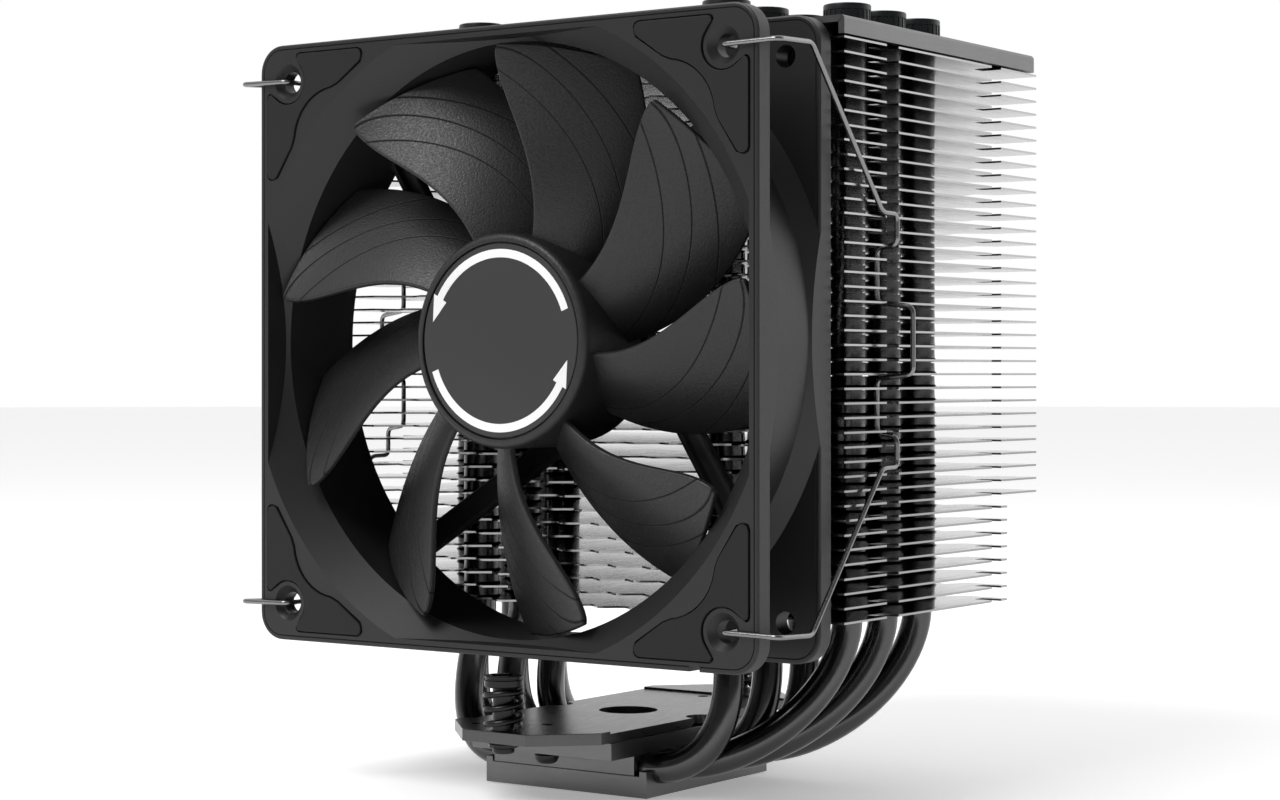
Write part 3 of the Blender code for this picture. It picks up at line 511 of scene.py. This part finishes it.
# %% Motor mount, struts and holes
combine(shell, drum("motor_mount", 20, DEPTH - 3.7, DEPTH, 64), "UNION")
for angle in (32, 122, 212, 302):
    strut = block("strut", (6, DEPTH - 3, 13.5), (56.2, DEPTH - 0.2, 18.5), 0.7, 0, 3)
    if angle in (122, 302):
        groove = block("groove", (14, DEPTH - 4, 14.8), (56, DEPTH - 1.4, 17.2))
        combine(strut, groove, "DIFFERENCE")
    turn = Matrix.Translation(FAN * MM) @ Matrix.Rotation(-math.radians(angle), 4, "Y")
    strut.data.transform(turn)
    combine(shell, strut, "UNION")
corners = [(x, z) for x in (-1, 1) for z in (-1, 1)]
for sx, sz in corners:
    middle = FAN + Vector((sx * HOLE, 0, sz * HOLE))
    hole = turned("hole", [(0, -1), (4.55, -1), (2.15, 1.4), (2.15, 26), (0, 26)], middle, (0, 1, 0), 40)
    combine(shell, hole, "DIFFERENCE")
slot = block("lead_slot", FAN + Vector((45, -1, -61)), FAN + Vector((47.4, 5, -58.6)), 0.5, 1, 3)
combine(shell, slot, "DIFFERENCE")
print("frame faces:", len(shell.data.polygons))

# %% [markdown]
# ### Soft corner pads
# Eight rubber pads keep the fan from buzzing. Each has an S-shaped edge that follows the bore on
# one side and the screw hole on the other. The frame has a matching pocket, a little larger, so
# a fine dark gap runs round each pad.

# %% Pads
def pad_outline(margin):
    """Outline of the pad in the corner at +X +Z; margin grows it for the pocket."""
    edge, end, low = 58 + margin, 33 - margin, 50.2 + margin
    half = [(edge - 0.9, low), (edge - 0.25, low - 0.3), (edge, low - 0.95), (edge, end + 1.2),
            (edge - 0.35, end + 0.35), (edge - 1.1, end), (edge - 1.9, end + 0.1),
            (edge - 2.5 - 2 * margin, end + 0.5), (51.6 - margin, 39.2)]
    belly = arc((40, 40), 10.9 - margin, 6, 84, 12)
    other = [(z, x) for x, z in half][::-1]
    return arc((HOLE, HOLE), 4.6 - margin, 140, 310, 16) + half + belly + other


pockets, pads = [], []
for side, name in ((1, "front"), (-1, "rear")):
    face = 0 if side > 0 else DEPTH
    for sx, sz in corners:
        where = "right" if sx > 0 else "left"
        where += "_top" if sz > 0 else "_bottom"

        def spots(margin, depth):
            return [FAN + Vector((x * sx, face + side * depth, z * sz)) for x, z in pad_outline(margin)]

        pockets.append(plate("pocket", spots(0.28, 0.9), (0, -side * 3, 0)))
        pad = plate("pad_%s_%s" % (name, where), spots(0, 0.6), (0, -side * 0.95, 0), 0.22)
        pads.append((pad, "fan_pad_%s_%s" % (name, where)))
for pocket in pockets:
    combine(shell, pocket, "DIFFERENCE")
smooth(shell, 20)
dress(shell, "tower", frame_plastic, "frame_plastic", "fan_frame")
for pad, node in pads:
    dress(smooth(pad), "tower", pad_rubber, "pad_rubber", node)
print("pads:", len(pads), "frame faces:", len(shell.data.polygons))

# %% [markdown]
# ## The rotor
# The hub is a turned cup with a raised rim. A blade is a grid whose vertices are moved onto the
# blade's surface: its leading edge sweeps forward towards the tip and it twists deeper into the
# frame towards its trailing edge. Solidify gives it thickness and a bevel rounds its edges.

# %% Hub and blades
def blade_spot(span, chord):
    """A point of the blade: span 0 at the hub and 1 at the tip, chord 0 at the leading edge."""
    radius = 18.8 + 38.0 * span
    leading = 113 + 18.2 * span * span * (3 - 2 * span) + 4 * span * (1 - span)
    trailing = 78.6 + 28 * span
    angle = math.radians(leading + (trailing - leading) * chord)
    near = 3.9 - 2.6 * span
    far = 15 + 7.2 * span * (1 - span)
    depth = near + (far - near) * (chord - 0.35 * chord * (1 - chord)) + 0.9
    return FAN + Vector((radius * math.cos(angle), depth, radius * math.sin(angle)))


def corner_cut(span, chord):
    """Draw the tip's two corners in a little, so that the blade ends in soft corners."""
    near_tip = max(0, (span - 0.95) / 0.05)
    inset = 0.02 * near_tip ** 2
    return span, inset + chord * (1 - 2 * inset)


bpy.ops.object.select_all(action="DESELECT")
bpy.ops.mesh.primitive_grid_add(x_subdivisions=28, y_subdivisions=30, size=1)
blade = settle("blade")
for vertex in blade.data.vertices:
    span, chord = corner_cut(vertex.co.y + 0.5, vertex.co.x + 0.5)
    vertex.co = blade_spot(span, chord) * MM
only(blade)
bpy.ops.object.modifier_add(type="SOLIDIFY")
blade.modifiers[-1].thickness = 1.3 * MM
blade.modifiers[-1].offset = 0
bpy.ops.object.modifier_apply(modifier=blade.modifiers[-1].name)
bpy.ops.object.modifier_add(type="BEVEL")
blade.modifiers[-1].width = 0.4 * MM
blade.modifiers[-1].segments = 3
blade.modifiers[-1].angle_limit = math.radians(50)
bpy.ops.object.modifier_apply(modifier=blade.modifiers[-1].name)
print("one blade:", len(blade.data.polygons), "faces")

# %% Nine blades on the hub
centre = Matrix.Translation(FAN * MM)
blades = [blade]
for k in range(1, 9):
    spin = centre @ Matrix.Rotation(math.radians(40 * k), 4, "Y") @ centre.inverted()
    blades.append(twin(blade, "blade_%d" % k, spin))
hub = turned("hub", [
    (0, 4.6), (18.4, 4.6), (18.4, 19.6), (20.7, 19.6), (20.7, 3.4), (20.6, 2.75), (20.3, 2.2),
    (19.9, 1.9), (19.4, 1.8), (19.0, 1.82), (18.9, 1.95), (18.88, 2.8), (0, 2.8)],
    FAN, (0, 1, 0), 96)
rotor = join("rotor_look", [hub] + blades)
smooth(rotor, 40)
dress(rotor, "rotor", blade_plastic, "rotor_plastic", "fan_rotor")
print("rotor faces:", len(rotor.data.polygons))

# %% [markdown]
# ### A plain sign on the hub
# The disc on the hub carries a printed sign. Here it shows which way the rotor turns: two curved
# arrows, a sign that any maker could print. Each arrow is a bent strip that ends in a wide head.

# %% Hub disc and arrows
disc = turned("hub_disc_look", [
    (0, 2.5), (18.6, 2.5), (18.6, 2.15), (18.45, 2.0), (0, 2.0)], FAN, (0, 1, 0), 96)
dress(disc, "rotor", badge_face, "badge_plastic", "hub_badge")


def arrow(name, turn):
    """A curved arrow on the disc, pointing the way the rotor spins."""
    outer = arc((0, 0), 17.5, turn, turn + 130, 40)
    inner = arc((0, 0), 15.9, turn + 130, turn, 40)
    head = [arc((0, 0), radius, turn + angle, turn + angle, 2)[0]
            for radius, angle in ((18.45, 130), (16.7, 147), (14.95, 130))]
    outline = [FAN + Vector((x, 2.0, z)) for x, z in outer + head + inner]
    return plate(name, outline, (0, -0.06, 0))


arrows = join("hub_arrows", [arrow("arrow", 20), arrow("arrow", 200)])
dress(smooth(arrows), "rotor", badge_print, "badge_plastic")
print("arrow faces:", len(arrows.data.polygons))

# %% [markdown]
# ## The heat pipes
# Six pipes run through the base and turn up on both sides. Half of them rise in an inner row and
# half in an outer row further back, and they swing past each other on the way. One cubic curve
# gives each bend, and a round section along it gives the pipe.

# %% Pipes
INNER = dict(leg=Vector((30.4, -9.8, 31.5)), bulge=Vector((5.5, -3, -23)), run=6.5)
OUTER = dict(leg=Vector((46.8, 8.4, 32.5)), bulge=Vector((-1.5, -1.5, -15)), run=17)
PIPE_Z = 5.4
PIPE_TOP_Z = 152.6
legs = []
for k in range(6):
    row = INNER if k % 2 == 0 else OUTER
    leg = row["leg"] + Vector((0, (k // 2) * 14, 0))
    legs.append((leg.x, leg.y))
    start = Vector((18.2, (k - 2.5) * 6.8, PIPE_Z))
    out, down = start + Vector((row["run"], 0, 0)), leg + row["bulge"]
    bend = []
    for i in range(25):
        t = i / 24
        near_base = start * (1 - t) ** 3 + out * (3 * t * (1 - t) ** 2)
        near_fins = down * (3 * t * t * (1 - t)) + leg * t ** 3
        bend.append(near_base + near_fins)
    corner = rounded([bend[-2], leg, leg + Vector((0, 0, 6))], 3)
    up = bend[:-1] + corner[1:] + [Vector((leg.x, leg.y, PIPE_TOP_Z))]
    across = [Vector((-p.x, p.y, p.z)) for p in reversed(up)]
    pipe = wire("pipe_look_%d" % (k + 1), across + up, 3.0, 8)
    dress(pipe, "tower", pipe_nickel, "pipe_metal", "heat_pipe_%d" % (k + 1))
legs += [(-x, y) for x, y in legs]
print("pipe legs at:", legs[:6])

# %% [markdown]
# ## The fins
# Forty-one sheets stand 2.7 mm apart. Their front and rear edges are cut in a zigzag that is
# shifted on every second sheet, which lets air in quietly. Each sheet has notches for the clips,
# and each hole has a pressed collar that grips the pipe and sets the distance to the next sheet.

# %% One sheet
PITCH = 2.715
FIRST_Z = 35.85
WAVE = 8.4


def zigzag(first, last, y, shift):
    """A zigzag edge with blunt tips along X."""
    count = 72
    edge = []
    for i in range(count + 1):
        x = first + (last - first) * i / count
        phase = (x / WAVE + shift) % 1
        tip = max(-0.8, min(0.8, abs(2 * phase - 1) * 2 - 1)) / 0.8
        edge.append((x, y + 1.5 * tip))
    return edge


def sheet(name, z, rear, shift):
    """One fin with its notches, its zigzag edges and its twelve holes."""
    side = [(62, -18.2), (62, -2.5), (57.8, -2.5), (57.8, 2.1), (62, 2.1), (62, 40.2), (58.2, 40.2),
            (57.8, 40.9), (57.8, 44.3), (62, 44.3), (62, rear)]
    back = [(52.6, rear)] + zigzag(50.4, -50.4, rear - 3.7, shift) + [(-52.6, rear)]
    front = [(-52.6, -18.2)] + zigzag(-50.4, 50.4, -14.5, shift) + [(52.6, -18.2)]
    outline = side + back + [(-x, y) for x, y in reversed(side)] + front
    fin = plate(name, [(x, y, z - 0.2) for x, y in outline], (0, 0, 0.4))
    return combine(fin, bars("holes", 3.2, z - 2, z + 2, 20), "DIFFERENCE")


def on_each_leg(name, profile, z, sides):
    """A turned shape, copied to all twelve pipe legs."""
    first = turned(name, profile, (*legs[0], z), steps=sides)
    copies = [first]
    for x, y in legs[1:]:
        step = Vector((x - legs[0][0], y - legs[0][1], 0)) * MM
        copies.append(twin(first, name, Matrix.Translation(step)))
    return join(name, copies)


def bars(name, radius, low, high, sides):
    """Twelve upright bars, one on each pipe leg."""
    return on_each_leg(name, [(0, low), (radius, low), (radius, high), (0, high)], 0, sides)


def collars(name, z):
    """Twelve pressed collars on top of a fin."""
    profile = [(3.06, 0.2), (4.1, 0.2), (3.7, 0.6), (3.6, 2.3), (3.06, 2.3), (3.06, 0.2)]
    return on_each_leg(name, profile, z, 16)


def stack(name, first, count, rear, node):
    """A run of fins: even and odd sheets as one piece, and their collars as another."""
    z = FIRST_Z + first * PITCH
    even = repeat(sheet("even", z, rear, 0), (count + 1) // 2, 2 * PITCH * MM)
    odd = repeat(sheet("odd", z + PITCH, rear, 0.5), count // 2, 2 * PITCH * MM)
    piece = smooth(join(name, [even, odd]), 40)
    dress(piece, "tower", fin_sheet, "fin_metal", node)
    rings = smooth(repeat(collars(name + "_collars", z), count, PITCH * MM), 40)
    # The collars take the darker grey: painted shade between the fins.
    dress(rings, "tower", collar_painted_shade, "pipe_metal")
    print(name, "faces:", len(piece.data.polygons), "and collars:", len(rings.data.polygons))


# %% Two stacks
stack("fins_lower", 0, 8, 47, "fin_stack_lower")
stack("fins_upper", 8, 33, 60.2, "fin_stack_upper")

# %% [markdown]
# ## The lid and the pipe caps
# A folded lid closes the stack. It is a shallow tray upside down, with a soft fold along three
# sides and nothing along the side next to the fan, and the twelve pipes pass through it. Ribbed
# plastic caps cover the pipe ends.

# %% Lid
lid = block("lid_look", (-62, -18.2, 145.1), (62, 60.2, 148.6))
only(lid)
bpy.ops.object.mode_set(mode="EDIT")
pick(lid, "EDGE", lambda e: min(v.co.y for v in e.verts) > 60 * MM
     and e.verts[0].co.x * e.verts[1].co.x > 0)
bpy.ops.mesh.bevel(offset=1.4 * MM, segments=6, affect="EDGES")
pick(lid, "FACE", lambda f: f.normal.z < -0.9 or f.normal.y < -0.9)
bpy.ops.mesh.delete(type="FACE")
pick(lid, "EDGE", lambda e: min(v.co.z for v in e.verts) > 148.5 * MM and not e.is_boundary
     and len(e.link_faces) == 2 and min(f.normal.z for f in e.link_faces) < 0.5)
bpy.ops.mesh.bevel(offset=0.8 * MM, segments=4, affect="EDGES")
bpy.ops.object.mode_set(mode="OBJECT")
bpy.ops.object.modifier_add(type="SOLIDIFY")
lid.modifiers[-1].thickness = 1.3 * MM
lid.modifiers[-1].offset = -1
bpy.ops.object.modifier_apply(modifier=lid.modifiers[-1].name)
combine(lid, bars("lid_holes", 3.3, 146, 151, 32), "DIFFERENCE")
dress(smooth(lid), "tower", lid_sheet, "cover_metal", "top_plate")
print("lid faces:", len(lid.data.polygons))

# %% Caps
RIBS = 24
for number, (x, y) in enumerate(legs, start=1):
    cap = turned("cap_look_%02d" % number, [
        (0, 154.5), (4.35, 154.5), (4.6, 154.42), (4.72, 154.2), (4.72, 153.3), (4.6, 153.2),
        (4.6, 149.3), (4.5, 149.0), (3.3, 149.0), (3.3, 153.1), (0, 153.1)], (x, y, 0), steps=40)
    rib = block("rib", (4.3, -0.14, 149.2), (4.72, 0.14, 153.3))
    middle = Matrix.Translation((x * MM, y * MM, 0))
    ribs = [twin(rib, "rib", middle @ Matrix.Rotation(math.tau * k / RIBS, 4, "Z"))
            for k in range(RIBS)]
    bpy.data.objects.remove(rib)
    cap = join("cap_look_%02d" % number, [cap] + ribs)
    dress(cap, "tower", cap_plastic, "cap_plastic", "pipe_cap_%02d" % number)
print("caps:", len(legs))

# %% [markdown]
# ## Cold plate and cover
# The cold plate is a milled block with two low walls at its sides and six round channels. A cover
# with matching channels clamps the pipes. Its top slab is longer than the block and carries the
# mounting bracket.

# %% Cold plate and cover
def channels(name, reach):
    """Six round bars where the pipes lie."""
    copies = []
    for k in range(6):
        copies.append(turned(name, [(0, -reach), (3.25, -reach), (3.25, reach), (0, reach)],
                             (0, (k - 2.5) * 6.8, PIPE_Z), (1, 0, 0), 32))
    return join(name, copies)


def edges_softened(obj, width, segments=2):
    """Round every crisp edge a little."""
    only(obj)
    bpy.ops.object.modifier_add(type="BEVEL")
    obj.modifiers[-1].width = width * MM
    obj.modifiers[-1].segments = segments
    bpy.ops.object.modifier_apply(modifier=obj.modifiers[-1].name)
    return obj


foot = block("base_look", (-19.7, -21.7, 0), (19.7, 21.7, 5.2))
combine(foot, block("floor", (-18, -25, 4.2), (18, 25, 9)), "DIFFERENCE")
edges_softened(foot, 0.15)
combine(foot, channels("base_channels", 30), "DIFFERENCE")
dress(smooth(foot), "tower", base_metal, "base_metal", "base_block")

cover = block("cover_look", (-17.8, -21.4, 4.22), (16.6, 21.4, 8.5))
combine(cover, block("slab", (-17, -29.5, 8), (17, 29.5, 11.4), 0.12, None, 2), "UNION")
combine(cover, block("pocket", (-20, -20.3, 0), (20, 20.3, 6.9)), "DIFFERENCE")
combine(cover, channels("cover_channels", 30), "DIFFERENCE")
for y in (-27.4, 27.4):
    bore = turned("bore", [(0, 0), (1.45, 0), (1.45, 14), (0, 14)], (0, y, 0), steps=24)
    combine(cover, bore, "DIFFERENCE")
dress(smooth(cover), "tower", base_metal, "base_metal", "cover_block")
print("cold plate and cover:", len(foot.data.polygons), len(cover.data.polygons), "faces")

# %% [markdown]
# ## The mounting bracket
# A steel bar lies on the cover, a little thicker at both ends where the screws press. Its corners
# are cut at 45 degrees, it has a round window in the middle, a half-round bite in each long side
# and threaded holes for the screws that come up through the cover.

# %% Bracket
half_outline = [(7.6, -44.2), (17.9, -33.9), (17.9, 33.9), (7.6, 44.2)]
outline = half_outline + [(-x, y) for x, y in reversed(half_outline)]
bracket = plate("bracket_look", [(x, y, 11.7) for x, y in outline], (0, 0, 2.25), 0.1)
combine(bracket, block("middle", (-25, -31, 13.5), (25, 31, 16)), "DIFFERENCE")
round_cuts = [(0, 0, 6.0), (17.9, 0, 3.1), (-17.9, 0, 3.1), (0, -27.4, 1.15), (0, 27.4, 1.15),
              (0, -41.1, 2.4), (0, 41.1, 2.4), (-10.5, -36.5, 0.9), (10.5, 36.5, 0.9)]
for x, y, radius in round_cuts:
    bore = turned("bore", [(0, 10), (radius, 10), (radius, 16), (0, 16)], (x, y, 0), steps=40)
    combine(bracket, bore, "DIFFERENCE")
dress(smooth(bracket), "tower", bracket_metal, "bracket_metal", "mounting_bracket")
print("bracket faces:", len(bracket.data.polygons))

# %% [markdown]
# ## Screws and springs
# Two captive screws with hollow ends hold the cooler down, each through a coil spring. A ring in a
# groove stops the screw under the bracket. The springs flatten when the screws are pressed. Two button
# screws hold the bracket from below.

# %% Screws, rings and springs
def coil(name, y):
    """A coil spring with a flat half turn at each end, narrower at its foot."""
    low, high, turns = 14.95, 21.35, 3.4
    path = []
    for i in range(150):
        t = i / 149
        dead = 0.55 / turns
        rise = max(0, min(1, (t - dead) / (1 - 2 * dead)))
        radius = 3.38 - 0.3 * (1 - min(1, t * 4))
        angle = 2 * math.pi * turns * t
        height = low + (high - low) * rise
        path.append((radius * math.cos(angle), y + radius * math.sin(angle), height))
    return wire(name, path, 0.6, 4)


for end, y in (("front", -41.1), ("rear", 41.1)):
    screw = turned("screw_look_" + end, [
        (0, 23.2), (2.2, 23.2), (2.3, 24.5), (3.45, 24.5), (3.6, 24.4), (3.6, 24.0), (3.45, 23.9),
        (3.45, 23.75), (3.72, 23.6), (3.72, 22.5), (3.55, 22.3), (2.1, 22.3), (2.1, 11.75),
        (1.5, 11.75), (1.5, 10.55), (2.1, 10.55), (2.1, 9.9), (1.9, 9.62), (1.0, 9.62), (0.9, 9.9),
        (0.9, 14.6), (0, 14.6)], (0, y, 0), steps=48)
    over = Matrix.Translation((0, y * MM, 0))
    for turn in (0, 90):
        slit = block("slit", (-3, -0.45, 23), (3, 0.45, 26))
        slit.data.transform(over @ Matrix.Rotation(math.radians(turn), 4, "Z"))
        combine(screw, slit, "DIFFERENCE")
    dress(smooth(screw), end + "_screw", black_steel, "black_steel", "spring_screw_" + end)
    spring = coil("spring_look_" + end, y)
    dress(spring, "tower", black_steel, "black_steel", "screw_spring_" + end)
    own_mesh(spring)
    side = -27.4 if end == "front" else 27.4
    button = turned("button_look_" + end, [
        (0, 13.2), (0.85, 13.2), (0.85, 7.7), (2.4, 7.7), (2.4, 7.3), (2.25, 6.8), (1.9, 6.3),
        (1.4, 6.0), (0, 5.9)], (0, side, 0), steps=40)
    dress(button, "tower", black_steel, "black_steel", "bracket_screw_" + end)
    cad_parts["retaining_ring_" + end].data.materials.clear()
    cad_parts["retaining_ring_" + end].data.materials.append(black_steel)

# %% [markdown]
# ## The wire clips
# Each clip is one length of 1 mm spring wire. Its ends hook into the frame's screw holes, it runs
# back along the side, drops into the notches of the fins and bulges out between them into a grip
# for a fingertip. The left clip is the mirror image of the right one.

# %% Clips
SIDE, NOTCH_Y = 63.4, -1.1
upper = [(52.5, -40.6, 52.5), (52.5, -45.0, 52.5), (64.6, -45.0, 52.7), (SIDE, -32, 53.4),
         (SIDE, -6.6, 24.1), (SIDE, NOTCH_Y, 24.0), (SIDE, NOTCH_Y, 18.2), (59, NOTCH_Y, 17.6),
         (59, NOTCH_Y, 7.3), (66.2, NOTCH_Y + 1.2, 6.4)]
path = upper + [(x, y, -z) for x, y, z in reversed(upper)]
path = rounded([(x, y, z + FAN.z) for x, y, z in path], 1.4)
right_clip = wire("clip_look_right", path, 0.5, 4)
left_clip = twin(right_clip, "clip_look_left", Matrix.Diagonal((-1, 1, 1, 1)))
dress(right_clip, "clip_right", clip_steel, "steel", "fan_clip_right")
dress(left_clip, "clip_left", clip_steel, "steel", "fan_clip_left")
print("clip faces:", len(right_clip.data.polygons))

# %% [markdown]
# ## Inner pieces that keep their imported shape
# The motor's parts and the retaining rings are hidden or tiny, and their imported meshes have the
# right shape. They only need a finish of their own.

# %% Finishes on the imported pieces
inner = {"rotor_magnet_ring": magnet_black, "fan_shaft": clip_steel, "bearing_sleeve": bearing_bronze,
         "stator": winding_copper, "motor_board": board_green}
for node, finish in inner.items():
    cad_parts[node].data.materials.clear()
    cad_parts[node].data.materials.append(finish)
print("packed pieces with a new finish:", sorted(inner))

# %% [markdown]
# ## Floor and light
# Dark, glossy pieces show mostly what they mirror. The surround is white behind the cooler, which
# gives the pipes their bright edges, and dark on the near side, which keeps their fronts black.
# Two large area lights draw the long highlights.

# %% Floor
bpy.ops.object.select_all(action="DESELECT")
FLOOR_RADIUS = 6                            # metres
bpy.ops.mesh.primitive_circle_add(vertices=128, radius=FLOOR_RADIUS, fill_type="NGON",
                                  location=(0, 0, -0.0002))
floor = settle("floor")
paper = Finish("floor_paper", Roughness=0.9, Specular_IOR_Level=0.1,
               Emission_Color=(1, 1, 1, 1), Emission_Strength=0.3)
floor.data.materials.append(paper.surface(paper.mix(paper.noise(60, 2), 0.93, 0.95)))
print("floor radius:", FLOOR_RADIUS, "m")

# %% Light
bpy.context.scene.view_settings.view_transform = "Standard"
world = bpy.data.worlds.new("pale_surround")
bpy.context.scene.world = world
world.use_nodes = True
backdrop = world.node_tree.nodes["Background"]
backdrop.inputs["Color"].default_value = (1, 1, 1, 1)
direction = world.node_tree.nodes.new("ShaderNodeTexCoord")
facing = world.node_tree.nodes.new("ShaderNodeVectorMath")
facing.operation = "DOT_PRODUCT"
facing.inputs[1].default_value = (-0.572, 0.820, 0.15)
shade = world.node_tree.nodes.new("ShaderNodeMapRange")
shade.interpolation_type = "SMOOTHSTEP"
for socket, value in (("From Min", -0.45), ("From Max", 0.5), ("To Min", 0.15), ("To Max", 1.0)):
    shade.inputs[socket].default_value = value
world.node_tree.links.new(direction.outputs["Generated"], facing.inputs[0])
world.node_tree.links.new(facing.outputs["Value"], shade.inputs["Value"])
world.node_tree.links.new(shade.outputs["Result"], backdrop.inputs["Strength"])


def soft_light(name, place, aim, size, power):
    """A large area light that faces a point."""
    turn = (Vector(aim) - Vector(place)).to_track_quat("-Z", "Y").to_euler()
    bpy.ops.object.light_add(type="AREA", location=place, rotation=turn)
    light = bpy.context.object
    light.name = name
    light.data.shape = "RECTANGLE"
    light.data.size = size[0]
    light.data.size_y = size[1]
    light.data.energy = power
    return light


soft_light("front_window", (-0.25, -0.75, 0.95), (0, 0, 0.09), (0.6, 0.6), 9)
soft_light("back_window", (0.5, 0.9, 0.45), (0, 0, 0.09), (0.8, 0.8), 1)
